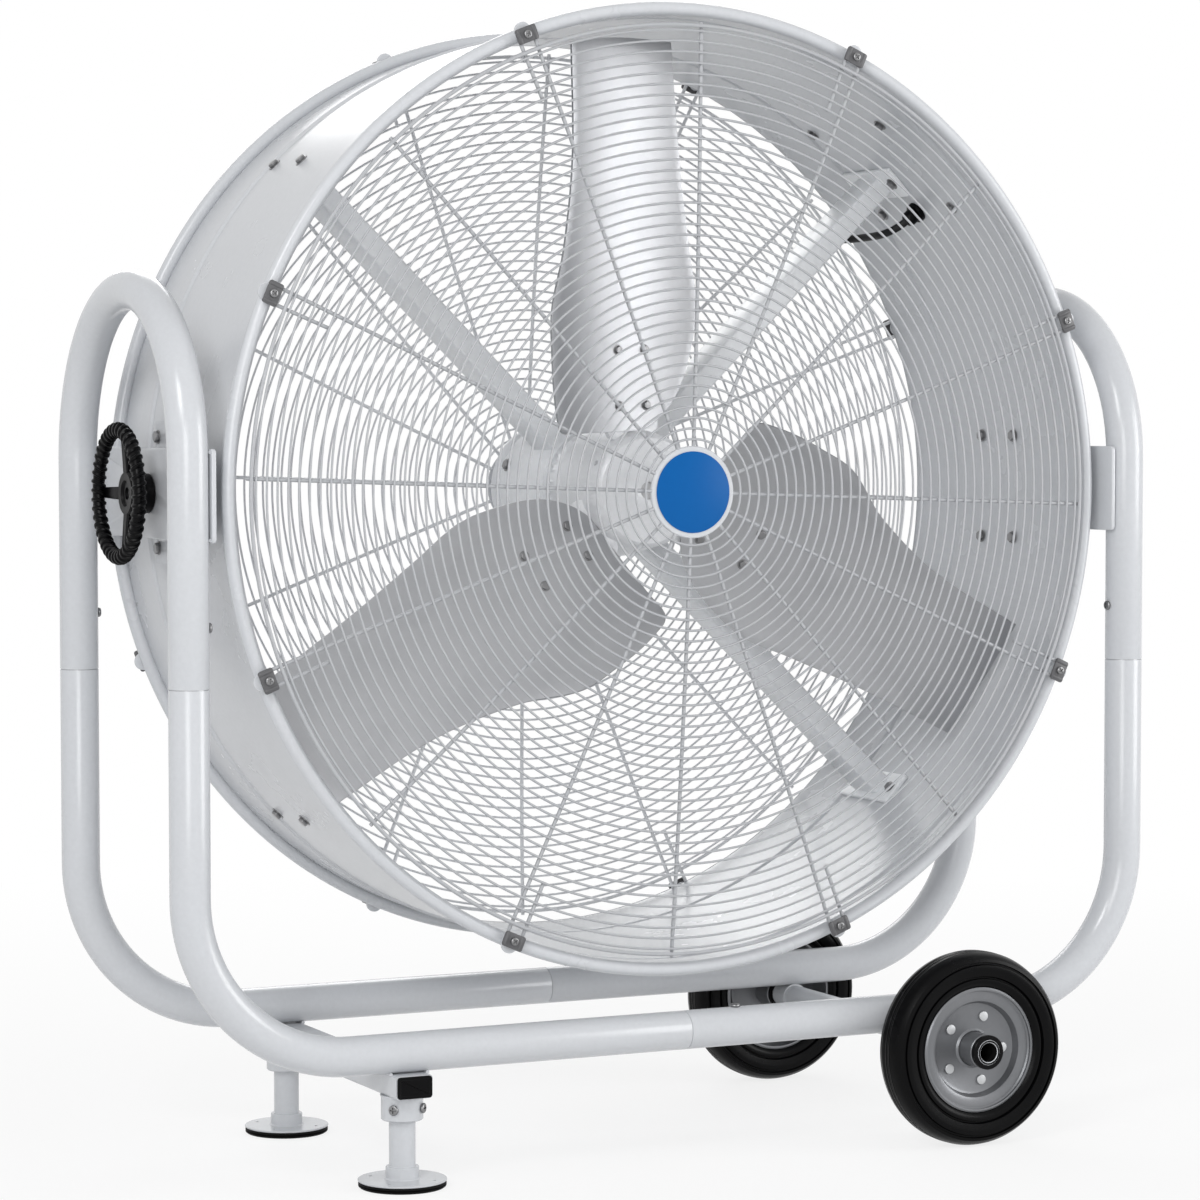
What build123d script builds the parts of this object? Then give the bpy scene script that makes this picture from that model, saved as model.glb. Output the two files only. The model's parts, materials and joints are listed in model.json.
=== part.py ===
# Mobile tilt drum fan: a wide drum on two pivots in a bent tube frame with two wheels and two feet.
# Millimetres. +Z is up, the fan blows towards -Y, +X is to the right of someone who faces its front.
# The origin is on the floor, under the middle of the tilt axis.
import os
from math import asin, cos, degrees, pi, radians, sin, sqrt

from build123d import *

# --- tilt axis and frame ---
leg_half_x = 683
tube_r = 25.4
tube_wall = 2
hoop_arc_rise = 42
bottom_bend_r = 210
rail_height = 173.7
drum_side_gap = 22.6
drum_rail_gap = 45.9
rim_outer_r = leg_half_x - tube_r - drum_side_gap
pivot_height = rail_height + tube_r + drum_rail_gap + rim_outer_r
axle_half_length = 331
axle_cap_length = 7.5
bush_flange = 1
bush_end_gap = 0.5
hub_stand_out = 10
tyre_width = 60
tyre_rail_gap = 9.6
hub_outer_y = axle_half_length - axle_cap_length - bush_flange - bush_end_gap
tyre_outer_face_y = hub_outer_y - hub_stand_out
leg_half_y = tyre_outer_face_y - tyre_width - tyre_rail_gap - tube_r
leg_join_height = 643
join_seam = 0.5
sleeve_half_length = 80
sleeve_wall = 2
sleeve_gap = 0.2
frame_screw_offset = 75
frame_screw_head_r = 6
frame_screw_head_h = 4
frame_screw_shank_r = 3
frame_screw_length = 12
seat_gap = 0.3
run_gap = 0.06

# --- drum ---
rim_roll_r = 9
rim_roll_wall = 2
rim_step = 0.5
sheet = 2
drum_front = -215
drum_rear = 240
rim_centre_r = rim_outer_r - rim_roll_r
shell_inner_r = rim_centre_r - rim_roll_r + rim_step
shell_outer_r = shell_inner_r + sheet
bead_front_y = -167
bead_rear_y = 120
bead_height = 3
bead_half_width = 6
ear_r = 12
ear_thickness = 2
ear_overhang = 7

# --- guards ---
spoke_r = 2.5
guard_wire_r = 1.5
guard_rim_wire_r = 2.5
guard_rim_r = rim_outer_r - 31
guard_first_ring_r = 69
guard_ring_count = 39
guard_rim_gap = 6.8
guard_ring_pitch = (guard_rim_r - guard_rim_gap - guard_first_ring_r) / (guard_ring_count - 1)
spoke_count = 16
spoke_clock = -2
spoke_end_r = guard_rim_r + 5
clip_spoke_end_r = rim_outer_r - 7
stub_inner_r = guard_rim_r - 64
stub_turn = 2
front_dome = 18
rear_dome = 35
wire_gap = 0.1
wire_sides = 8
plate_r = 60
plate_thickness = 3
badge_r = 53
badge_thickness = 1.5
clip_count = 8
clip_length = 30
clip_width = 20
clip_thickness = 3
clip_screw_head_r = 5.5
clip_screw_head_h = 4
clip_screw_shank_r = 2.5
clip_screw_r_place = rim_outer_r - 10

# --- motor and its spider ---
motor_r = 87
motor_wall = 7
motor_front = 2
bell_front_depth = 26
motor_body_end = 172
motor_rear = 208
rear_bell_r = 92
bell_wall = 8
shaft_r = 12
shaft_rear = 200
bearing_r = 24
bearing_width = 15
stator_inner_r = 50
stator_length = 90
winding_thickness = 16
rotor_air_gap = 0.8
spider_ring_wall = 6
spider_ring_front = 25
spider_ring_rear = 165
strut_angle = 44
strut_width = 30
strut_depth = 60
strut_front = 25
strut_sheet = 3
foot_width = 50
foot_length = 130
foot_thickness = 6
strut_bolt_spacing = 98
strut_bolt_r = 4
strut_bolt_head_r = 7.5
strut_bolt_head_h = 5
motor_bolt_y = 150
motor_bolt_turn = 24

# --- blades and hub ---
blade_count = 3
blade_clock = 91.8
blade_pitch = 14.3
blade_plane_y = -80
blade_tip_r = shell_inner_r - 17.5
blade_root_r = 79
blade_half_width = 174
blade_thickness = 3
blade_camber_r = 420
blade_corner_r = 14
# edges of the blade as shares: span of the tip radius, chord of the half width
front_edge_shares = [(0.22, 0.985), (0.3, 1.0), (0.4, 0.985), (0.533, 0.79), (0.733, 0.64)]
front_root_share = 0.925
front_tip_share = 0.615
back_edge_shares = [(0.17, 0.26), (0.217, 0.39), (0.3, 0.505), (0.4, 0.575), (0.533, 0.525), (0.733, 0.46)]
back_root_share = 0.08
back_tip_share = 0.415
arm_width = 90
arm_centre_chord = 9
arm_end_r = 206
arm_thickness = 8
blade_bolt_inner_r = 113.4
blade_bolt_outer_r = 187.4
blade_bolt_half_spacing = 24
blade_bolt_r = 4
blade_bolt_head_r = 6
blade_bolt_head_h = 4
blade_bolt_stand = 1.2
hub_nose_y = -112
hub_nose_r = 76
hub_back_y = -12
hub_back_r = 90
hub_wall = 8
hub_face = 14
hub_boss_r = 30
hub_edge = 6
hub_bore_gap = 0.02
hub_set_screw_r = 4

# --- control box, cable and glands ---
box_angle = 46.3
box_y = 6
box_length = 176
box_width = 150
box_stand_off = 8
box_depth = 48
box_wall = 3
box_bolt_half_y = 94
box_bolt_half_turn = 7.4
box_tab = 14
box_foot_r = 9
cover_thickness = 4
switch_r = 16
switch_length = 18
switch_stem_r = 4
cable_r = 5.5
cable_corner_r = 160
cable_drop_r = 190
cable_lift_y = 118
cable_lift_z = 30
cable_wall_y = 90
cable_wall_z = 50
cable_bends = [cable_drop_r / 6, cable_drop_r / 6, cable_drop_r / 4, cable_drop_r / 9, cable_drop_r / 5]
gland_r = 11
gland_flange_r = 15
gland_angle = 38.9
gland_y = 4
gland_nose_r = shell_inner_r - 23.5
gland_depth = 8
cable_bend_r = 26
terminal_y = 128
terminal_length = 66
terminal_width = 50
terminal_height = 30
terminal_wall = 3

# --- pivots ---
pad_flat_x = shell_outer_r + 11.5
pad_length_z = 184
pad_width_y = 120
pad_bolt_half_y = 42
pad_bolt_half_z = 72
pad_bolt_r = 4
pad_bolt_head_r = 7.5
pad_bolt_head_h = 5.5
boss_r = 50
plate_leg_gap = 0.4
friction_thickness = 4.4
pivot_plate_thickness = 6
plate_end_x = leg_half_x - tube_r - plate_leg_gap
plate_start_x = plate_end_x - pivot_plate_thickness
friction_start_x = plate_start_x - friction_thickness
boss_end_x = friction_start_x - seat_gap
pivot_plate_half_z = 58
pivot_plate_half_y = leg_half_y + tube_r + 2.6
stud_r = 8
stud_end_x = plate_end_x + 26.8

# --- handwheels ---
handwheel_r = 81
handwheel_rim_r = 10.5
handwheel_rim_x = plate_end_x + 41.8
handwheel_hub_r = 29
handwheel_hub_end_x = plate_end_x + 33.8
handwheel_spoke_width = 17
handwheel_spoke_thickness = 8
handwheel_spokes = 4

# --- wheels ---
wheel_x = 398
wheel_r = 131
rim_r = 83
rim_width = 50
rim_sheet = 3
dish_r = 62
dish_depth = 12
hub_tube_r = 23
hub_tube_inner_r = 20
hub_tube_length = 73
hub_inner_y = hub_outer_y - hub_tube_length
bush_length = 22
axle_r = 17
axle_bore_r = 13
axle_collar_r = 22
axle_collar_length = 4

# --- feet ---
foot_x = -396.5
foot_y = leg_half_y - 12
crossbar_width = 50
crossbar_height = 30
crossbar_wall = 2
crossbar_half_length = leg_half_y + 28
end_cap_flange = 3
end_cap_plug = 14
collar_r = 27
collar_height = 32
leg_r = 17
leg_wall = 2.5
leg_top_engagement = 3.5
leg_socket_r = 21.5
leg_socket_height = 16
disc_r = 57
disc_thickness = 2.5
disc_hole_r = 2
disc_hole_place = 44
pad_rubber_r = 56
pad_rubber_thickness = 8

# --- derived places ---
spoke_rim_y_front = drum_front - ear_thickness - wire_gap - spoke_r
spoke_rim_y_rear = drum_rear + ear_thickness + wire_gap + spoke_r
spoke_angles = [i * 360 / spoke_count + spoke_clock for i in range(spoke_count)]
clip_spoke_angles = [(i + 0.5) * 360 / clip_count + spoke_clock for i in range(clip_count)]
clip_angles = [a + stub_turn / 2 for a in clip_spoke_angles]
strut_angles = [strut_angle, 180 - strut_angle, 180 + strut_angle, 360 - strut_angle]
strut_mid_y = strut_front + strut_depth / 2
hoop_arc_z = pivot_height + hoop_arc_rise
rail_bottom = rail_height - tube_r
crossbar_top = rail_bottom - seat_gap
crossbar_bottom = crossbar_top - crossbar_height
wheel_centre_y = tyre_outer_face_y - tyre_width / 2


# --- small helpers ---
def on_axis(shape):
    """Lift a shape that was made round the Y axis to the height of the tilt axis."""
    return Pos(0, 0, pivot_height) * shape


def turned(shape, angle):
    """Turn a shape round the Y axis so that its +X side points at an angle seen from the front."""
    return Rot(0, -angle, 0) * shape


def rod_y(radius, y_start, y_end):
    """A rod along Y between two places."""
    return Pos(0, (y_start + y_end) / 2, 0) * Rot(90, 0, 0) * Cylinder(radius, abs(y_end - y_start))


def rod_x(radius, x_start, x_end):
    """A rod along X between two places."""
    return Pos((x_start + x_end) / 2, 0, 0) * Rot(0, 90, 0) * Cylinder(radius, abs(x_end - x_start))


def rod_z(radius, z_start, z_end):
    """A rod along Z between two places."""
    return Pos(0, 0, (z_start + z_end) / 2) * Cylinder(radius, abs(z_end - z_start))


def block(x0, x1, y0, y1, z0, z1):
    """A block between its lowest and highest corners."""
    return Pos((x0 + x1) / 2, (y0 + y1) / 2, (z0 + z1) / 2) * Box(x1 - x0, y1 - y0, z1 - z0)


def spun(points):
    """A solid made by turning an outline of (radius, y) points round the Y axis."""
    return revolve(make_face(Polyline(*points, close=True)), Axis.Y, 360)


def polar(radius, angle, y):
    """The point at a radius and an angle round the Y axis."""
    return Vector(radius * cos(radians(angle)), y, radius * sin(radians(angle)))


def save(name, *solids):
    """Write one sub-part, made of one or more separate solids."""
    flat = []
    for solid in solids:
        flat.extend(solid.solids())
    shape = flat[0] if len(flat) == 1 else Compound(children=flat)
    export_step(shape, os.path.join("parts", name + ".step"))
    return shape


# --- drum shell ---
def sheet_line(radius):
    """Points along the drum wall at one radius, with its two outward beads."""
    points = [(radius, drum_front + rim_roll_r)]
    for y in (bead_front_y, bead_rear_y):
        points.append((radius, y - bead_half_width))
        points.append((radius + bead_height, y - bead_half_width / 3))
        points.append((radius + bead_height, y + bead_half_width / 3))
        points.append((radius, y + bead_half_width))
    points.append((radius, drum_rear - rim_roll_r))
    return points


def rolled_rim(y):
    """The rolled tube at one end of the drum wall."""
    ring = Pos(rim_centre_r, y) * (Circle(rim_roll_r) - Circle(rim_roll_r - rim_roll_wall))
    return revolve(ring, Axis.Y, 360)


def ear(angle, y_start, y_end):
    """A round tab on a rim, behind one guard clip."""
    place = rim_outer_r + ear_overhang - ear_r
    return turned(Pos(place, 0, 0) * rod_y(ear_r, y_start, y_end), angle)


def wall_hole(radius, angle, y):
    """A cutter for a round hole through the drum wall."""
    return Pos(0, y, 0) * turned(rod_x(radius, shell_inner_r - 5, shell_outer_r + 5), angle)


def drum_shell():
    """The rolled drum with its rims, ears and bolt holes."""
    wall = spun(sheet_line(shell_outer_r) + sheet_line(shell_inner_r)[::-1])
    shell = wall + rolled_rim(drum_front + rim_roll_r) + rolled_rim(drum_rear - rim_roll_r)
    for angle in clip_angles:
        shell += ear(angle, drum_front - ear_thickness, drum_front + 1)
        shell += ear(angle, drum_rear - 1, drum_rear + ear_thickness)
    cutters = []
    for angle, y in strut_bolt_places():
        cutters.append(wall_hole(strut_bolt_r + seat_gap, angle, y))
    for angle, y in pad_bolt_places():
        cutters.append(wall_hole(pad_bolt_r + seat_gap, angle, y))
    for angle, y in box_bolt_places():
        cutters.append(wall_hole(strut_bolt_r + seat_gap, angle, y))
    cutters.append(wall_hole(gland_r + seat_gap, gland_angle, gland_y))
    clip_hole_spans = ((drum_front - 5, drum_front + rim_roll_r), (drum_rear - rim_roll_r, drum_rear + 5))
    for angle in clip_angles:
        for y_start, y_end in clip_hole_spans:
            screw_hole = rod_y(clip_screw_shank_r + 0.1, y_start, y_end)
            cutters.append(turned(Pos(clip_screw_r_place, 0, 0) * screw_hole, angle))
    return on_axis(shell - cutters)


def strut_bolt_places():
    """Angle and depth of each bolt that holds a strut's foot to the drum wall."""
    half = strut_bolt_spacing / 2
    return [(angle, strut_mid_y + s * half) for angle in strut_angles for s in (-1, 1)]


def pad_bolt_places():
    """Angle and depth of each bolt that holds a trunnion pad to the drum wall."""
    turn = degrees(asin(pad_bolt_half_z / shell_outer_r))
    places = []
    for side in (0, 180):
        for s in (-1, 1):
            for y in (-pad_bolt_half_y, pad_bolt_half_y):
                places.append((side + s * turn, y))
    return places


def box_bolt_places():
    """Angle and depth of each bolt that holds the control box to the drum wall."""
    turns = (-box_bolt_half_turn, box_bolt_half_turn)
    depths = (box_y - box_bolt_half_y, box_y + box_bolt_half_y)
    return [(box_angle + t, y) for t in turns for y in depths]


# --- guards ---
def dome_y(rim_y, dome, radius):
    """Depth of a guard spoke's centre line at a radius: a shallow dome away from the drum."""
    return rim_y + dome * (1 - (radius / clip_spoke_end_r) ** 2)


def guard_rod(rim_y, dome, inner_r, outer_r, angle):
    """One radial wire that follows the dome."""
    middle = (inner_r + outer_r) / 2
    path = ThreePointArc(*[(r, dome_y(rim_y, dome, r), 0) for r in (inner_r, middle, outer_r)])
    start = Plane(origin=path @ 0, z_dir=path % 0)
    rod = sweep(start * Circle(spoke_r), path=path)
    return turned(rod, angle)


def guard_spokes(rim_y, dome):
    """All spokes of one guard, and the short stubs beside the spokes at the clips."""
    rods = []
    for angle in spoke_angles:
        at_clip = any(abs(angle - c) < 1 for c in clip_spoke_angles)
        end = clip_spoke_end_r if at_clip else spoke_end_r
        rods.append(guard_rod(rim_y, dome, plate_r + wire_gap, end, angle))
    for angle in clip_spoke_angles:
        rods.append(guard_rod(rim_y, dome, stub_inner_r, clip_spoke_end_r, angle + stub_turn))
    return [on_axis(rod) for rod in rods]


def guard_rings(rim_y, dome, front):
    """The concentric wires, which lie on the outer side of the spokes."""
    side = -1 if front else 1
    rings = []
    sizes = [(guard_first_ring_r + i * guard_ring_pitch, guard_wire_r) for i in range(guard_ring_count)]
    sizes = [s for s in sizes if s[0] < guard_rim_r - guard_rim_wire_r - guard_wire_r - wire_gap]
    sizes.append((guard_rim_r, guard_rim_wire_r))
    for radius, wire in sizes:
        y = dome_y(rim_y, dome, radius) + side * (spoke_r + wire + wire_gap)
        section = Pos(radius, y) * RegularPolygon(wire, wire_sides)
        rings.append(on_axis(revolve(section, Axis.Y, 360)))
    return rings


def guard_plate(rim_y, dome):
    """The round plate in the middle of a guard, between the spokes' inner ends."""
    y = dome_y(rim_y, dome, plate_r)
    half = plate_thickness / 2 + 1
    return on_axis(rod_y(plate_r, y - half, y + half))


def centre_badge():
    """The bare disc on the front guard's plate."""
    y = dome_y(spoke_rim_y_front, -front_dome, plate_r) - plate_thickness / 2 - 1
    return on_axis(rod_y(badge_r, y - badge_thickness, y))


def clip_face(front):
    """Depth of the side of the clips that lies on the rods, at the clips' inner edge."""
    low_r = clip_screw_r_place - clip_width / 2
    if front:
        return dome_y(spoke_rim_y_front, -front_dome, low_r) - spoke_r - wire_gap
    return dome_y(spoke_rim_y_rear, rear_dome, low_r) + spoke_r + wire_gap


def guard_clip(angle, front):
    """A plate that holds the ends of a spoke and its stub against the rim."""
    face = clip_face(front)
    outer = face + clip_thickness * (-1 if front else 1)
    low_r = clip_screw_r_place - clip_width / 2
    high_r = clip_screw_r_place + clip_width / 2
    half = clip_length / 2
    clip = block(low_r, high_r, min(face, outer), max(face, outer), -half, half)
    clip = fillet(clip.edges().filter_by(Axis.Y), 2)
    clip -= Pos(clip_screw_r_place, 0, 0) * rod_y(clip_screw_shank_r + 0.1, face - 5, face + 5)
    return on_axis(turned(clip, angle))


def clip_screw(angle, front):
    """A pan-head screw through one clip into the rim."""
    side = -1 if front else 1
    under_head = clip_face(front) + side * (clip_thickness + wire_gap)
    tip = (drum_front + rim_roll_r) if front else (drum_rear - rim_roll_r)
    screw = rod_y(clip_screw_shank_r, tip, under_head)
    head = rod_y(clip_screw_head_r, under_head, under_head + side * clip_screw_head_h)
    return on_axis(turned(Pos(clip_screw_r_place, 0, 0) * (screw + head), angle))


# --- motor spider ---
def strut(angle):
    """A channel from the motor ring to the drum wall, open to the rear, with a foot plate."""
    start = motor_r + seat_gap + spider_ring_wall - 2
    end = shell_inner_r - foot_thickness
    half = strut_width / 2
    back = strut_front + strut_depth
    channel = block(start, end, strut_front, back, -half, half)
    inner = half - strut_sheet
    channel -= block(start - 1, end + 1, strut_front + strut_sheet, back + 1, -inner, inner)
    foot_half_y = foot_length / 2
    foot_half_z = foot_width / 2
    foot = block(end - foot_thickness, shell_inner_r + 5,
                 strut_mid_y - foot_half_y, strut_mid_y + foot_half_y, -foot_half_z, foot_half_z)
    foot = foot & rod_y(shell_inner_r - seat_gap, 2 * drum_front, 2 * drum_rear)
    for s in (-1, 1):
        hole = rod_x(strut_bolt_r + seat_gap, end - 30, shell_inner_r + 5)
        foot -= Pos(0, strut_mid_y + s * strut_bolt_spacing / 2, 0) * hole
    return turned(channel + foot, angle)


def motor_bolt_places():
    """Angle of each screw that holds the motor in the spider's ring."""
    return [angle + s * motor_bolt_turn for angle in strut_angles for s in (-1, 1)]


def motor_spider():
    """The motor ring with its four struts, welded in one piece."""
    inner = motor_r + seat_gap
    outer = inner + spider_ring_wall
    ring = rod_y(outer, spider_ring_front, spider_ring_rear)
    ring -= rod_y(inner, spider_ring_front - 1, spider_ring_rear + 1)
    for angle in motor_bolt_places():
        ring -= Pos(0, motor_bolt_y, 0) * turned(rod_x(strut_bolt_r + 0.1, inner - 5, outer + 5), angle)
    for angle in strut_angles:
        ring += strut(angle)
    return on_axis(ring)


def spider_bolts():
    """Hex bolts through the drum wall with nuts inside, and the screws of the motor ring."""
    bolts = []
    nut_r = shell_inner_r - 2 * foot_thickness
    for angle, y in strut_bolt_places():
        bolts.append(Pos(0, y, 0) * turned(hex_bolt(nut_r - 4, shell_outer_r + seat_gap), angle))
        nut = hex_prism(strut_bolt_head_r, nut_r - seat_gap - strut_bolt_head_h, nut_r - seat_gap)
        nut -= rod_x(strut_bolt_r + 0.1, nut_r - 20, nut_r + 5)
        bolts.append(Pos(0, y, 0) * turned(nut, angle))
    ring_outer = motor_r + seat_gap + spider_ring_wall
    for angle in motor_bolt_places():
        screw = hex_prism(strut_bolt_head_r, ring_outer + seat_gap, ring_outer + seat_gap + strut_bolt_head_h)
        screw += rod_x(strut_bolt_r, motor_r - motor_wall / 2, ring_outer + seat_gap + 1)
        bolts.append(Pos(0, motor_bolt_y, 0) * turned(screw, angle))
    return [on_axis(bolt) for bolt in bolts]


def hex_prism(radius, x_start, x_end):
    """A hexagonal prism along X."""
    prism = extrude(RegularPolygon(radius, 6), x_end - x_start)
    return Pos(x_start, 0, 0) * Rot(0, 90, 0) * prism


def hex_bolt(tip_x, under_head_x):
    """A bolt along X with its head on the outside."""
    head = hex_prism(strut_bolt_head_r, under_head_x, under_head_x + strut_bolt_head_h)
    return head + rod_x(strut_bolt_r, tip_x, under_head_x + 1)


# --- motor ---
def motor_housing():
    """The motor's round body, with screw holes for the spider ring."""
    body_start = motor_front + bell_front_depth
    tube = rod_y(motor_r, body_start, motor_body_end)
    tube -= rod_y(motor_r - motor_wall, body_start - 1, motor_body_end + 1)
    hole = rod_x(strut_bolt_r + 0.1, motor_r - motor_wall / 2 - 1, motor_r + 5)
    for angle in motor_bolt_places():
        tube -= Pos(0, motor_bolt_y, 0) * turned(hole, angle)
    return on_axis(tube)


def motor_front_bell():
    """The bell at the shaft end of the motor, with its bearing seat."""
    end = motor_front + bell_front_depth
    seat = bearing_r + wire_gap
    seat_end = motor_front + bearing_width + 6
    face = motor_front + bell_wall
    outline = [(shaft_r + 2, motor_front), (motor_r - 12, motor_front),
               (motor_r, motor_front + 12), (motor_r, end),
               (motor_r - bell_wall, end), (motor_r - bell_wall - 6, face),
               (bearing_r + bell_wall, face), (bearing_r + bell_wall, seat_end),
               (seat, seat_end), (seat, motor_front + 5), (shaft_r + 2, motor_front + 5)]
    return on_axis(spun(outline))


def motor_rear_bell():
    """The wider bell at the rear of the motor, with its bearing seat."""
    gap = seat_gap
    start = motor_body_end + gap
    seat = bearing_r + wire_gap
    inner_end = motor_rear - bell_wall
    outline = [(motor_r - bell_wall, start), (rear_bell_r - 5, start), (rear_bell_r, start + 6),
               (rear_bell_r, motor_rear - 8), (rear_bell_r - 8, motor_rear), (0, motor_rear),
               (0, motor_rear - 5), (seat, motor_rear - 5), (seat, inner_end - bearing_width),
               (bearing_r + bell_wall, inner_end - bearing_width), (bearing_r + bell_wall, inner_end),
               (motor_r - bell_wall, inner_end)]
    return on_axis(spun(outline))


def stator_core():
    """The laminated ring inside the housing."""
    middle = (motor_front + bell_front_depth + motor_body_end) / 2
    half = stator_length / 2
    outer = motor_r - motor_wall - wire_gap
    core = rod_y(outer, middle - half, middle + half)
    core -= rod_y(stator_inner_r, middle - half - 1, middle + half + 1)
    return on_axis(core)


def stator_windings():
    """The two wound ends of the stator, as closed rings inside the housing."""
    middle = (motor_front + bell_front_depth + motor_body_end) / 2
    half = stator_length / 2
    rings = []
    for side in (-1, 1):
        start = middle + side * (half + wire_gap)
        end = start + side * winding_thickness
        ring = rod_y(motor_r - motor_wall - 5, start, end)
        ring -= rod_y(stator_inner_r + 4, start - side, end + side)
        rings.append(on_axis(ring))
    return rings


def motor_bearings():
    """The two ball bearings, each as one closed ring with a running fit on the shaft."""
    front_start = motor_front + 5 + wire_gap
    rear_end = motor_rear - 5 - wire_gap
    spans = [(front_start, front_start + bearing_width), (rear_end - bearing_width, rear_end)]
    bore = shaft_r + run_gap
    return [on_axis(rod_y(bearing_r, a, b) - rod_y(bore, a - 1, b + 1)) for a, b in spans]


def terminal_box():
    """The small box on the motor's side where the cable starts."""
    inner = motor_r + seat_gap + spider_ring_wall + seat_gap
    half_z = terminal_width / 2
    half_y = terminal_length / 2
    box = block(inner - 5, inner + terminal_height, terminal_y - half_y, terminal_y + half_y, -half_z, half_z)
    box = fillet(box.edges().filter_by(Axis.X), 4)
    wall = terminal_wall
    box -= block(inner - 6, inner + terminal_height - wall,
                 terminal_y - half_y + wall, terminal_y + half_y - wall, -half_z + wall, half_z - wall)
    box -= rod_y(inner, 2 * drum_front, 2 * drum_rear)
    return on_axis(turned(box, strut_angle))


def cable_points():
    """The cable's route beside one strut, in that strut's own frame: along its edge, then along the wall."""
    box_top = motor_r + 2 * seat_gap + spider_ring_wall + terminal_height
    edge_z = (strut_sheet - strut_width) / 2
    on_edge_y = strut_front + strut_depth + seat_gap + cable_r
    gland_turn = gland_angle - strut_angle
    bend = polar(gland_nose_r - cable_bend_r, gland_turn, gland_y)
    end = polar(gland_nose_r + gland_depth - 1, gland_turn, gland_y)
    leave_r = gland_nose_r - 3.4 * cable_bend_r
    return [(box_top + wire_gap, terminal_y, edge_z), (cable_corner_r, terminal_y, edge_z),
            (cable_drop_r, on_edge_y, edge_z), (leave_r, on_edge_y, edge_z),
            (leave_r + cable_lift_z, cable_lift_y, -cable_lift_z),
            (leave_r + 2 * cable_bend_r, cable_wall_y, -cable_wall_z), bend, end]


def motor_cable():
    """The cable between the motor and the gland: straight runs joined by arcs."""
    path = FilletPolyline(*cable_points(), radius=cable_bends + [cable_bend_r])
    start = Plane(origin=path @ 0, z_dir=path % 0)
    cable = sweep(start * Circle(cable_r), path=path)
    print("cable volume", cable.volume, "section times length", pi * cable_r ** 2 * path.length)
    return on_axis(turned(cable, strut_angle))


def wall_gland():
    """The gland that takes the cable through the drum wall."""
    body = rod_x(gland_r, gland_nose_r, box_floor() + 4)
    body += rod_x(gland_flange_r, shell_inner_r - 8, shell_inner_r - seat_gap)
    body -= rod_x(cable_r + wire_gap, gland_nose_r - 1, gland_nose_r + gland_depth)
    return on_axis(Pos(0, gland_y, 0) * turned(body, gland_angle))


# --- control box ---
def box_floor():
    """Radius of the box's floor, which clears the heads of the strut bolts under it."""
    return shell_outer_r + box_stand_off


def box_shell():
    """The control box outside the drum, open at the top, on four feet at its mounting tabs."""
    floor = box_floor()
    top = floor + box_depth
    half_y = box_length / 2
    half_z = box_width / 2
    box = block(floor, top, -half_y, half_y, -half_z, half_z)
    box = fillet(box.edges().filter_by(Axis.X), 8)
    box -= block(floor + box_wall, top + 1,
                 -half_y + box_wall, half_y - box_wall, -half_z + box_wall, half_z - box_wall)
    foot_z = shell_outer_r * sin(radians(box_bolt_half_turn))
    tab_half_y = box_bolt_half_y + box_tab
    tab_half_z = foot_z + box_tab
    tabs = block(floor, floor + box_wall, -tab_half_y, tab_half_y, -tab_half_z, tab_half_z)
    box += fillet(tabs.edges().filter_by(Axis.X), box_tab / 2)
    low = shell_outer_r * cos(radians(box_bolt_half_turn)) - box_tab
    for y in (-box_bolt_half_y, box_bolt_half_y):
        for z in (-foot_z, foot_z):
            box += Pos(0, y, z) * rod_x(box_foot_r, low, floor + 1)
    box -= rod_y(shell_outer_r + seat_gap, 2 * drum_front, 2 * drum_rear)
    cuts = []
    for y in (-box_bolt_half_y, box_bolt_half_y):
        for turn in (-box_bolt_half_turn, box_bolt_half_turn):
            cuts.append(Pos(0, y, 0) * turned(rod_x(strut_bolt_r + seat_gap, low, top), turn))
    gland_hole = rod_x(gland_r + seat_gap, low, floor + box_wall + 5)
    cuts.append(Pos(0, gland_y - box_y, 0) * turned(gland_hole, gland_angle - box_angle))
    cuts.append(Pos(switch_x(), 0, switch_z()) * rod_y(switch_stem_r + run_gap, 0, half_y + 5))
    cuts.append(Pos(switch_x(), 0, -switch_z()) * rod_y(gland_r + 0.1, 0, half_y + 5))
    return on_axis(Pos(0, box_y, 0) * turned(box - cuts, box_angle))


def box_bolts():
    """The bolts through the box's tabs, its feet and the drum wall, with nuts on the inside."""
    bolts = []
    slope = radians(box_bolt_half_turn)
    under_head = (box_floor() + box_wall) / cos(slope) + strut_bolt_head_r * sin(slope) + wire_gap
    nut_top = shell_inner_r - 1
    for angle, y in box_bolt_places():
        bolt = hex_bolt(nut_top - strut_bolt_head_h - 1, under_head)
        bolt += hex_prism(strut_bolt_head_r, nut_top - strut_bolt_head_h, nut_top)
        bolts.append(on_axis(Pos(0, y, 0) * turned(bolt, angle)))
    return bolts


def switch_x():
    """Radius of the switch and the inlet on the box's rear wall."""
    return box_floor() + box_depth / 2


def switch_z():
    """Sideways place of the switch on the box's rear wall; the inlet mirrors it."""
    return box_width / 4


def box_cover():
    """The flat cover that closes the control box."""
    start = box_floor() + box_depth + wire_gap
    half_y = box_length / 2
    half_z = box_width / 2
    cover = block(start, start + cover_thickness, -half_y, half_y, -half_z, half_z)
    cover = fillet(cover.edges().filter_by(Axis.X), 8)
    return on_axis(Pos(0, box_y, 0) * turned(cover, box_angle))


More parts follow.
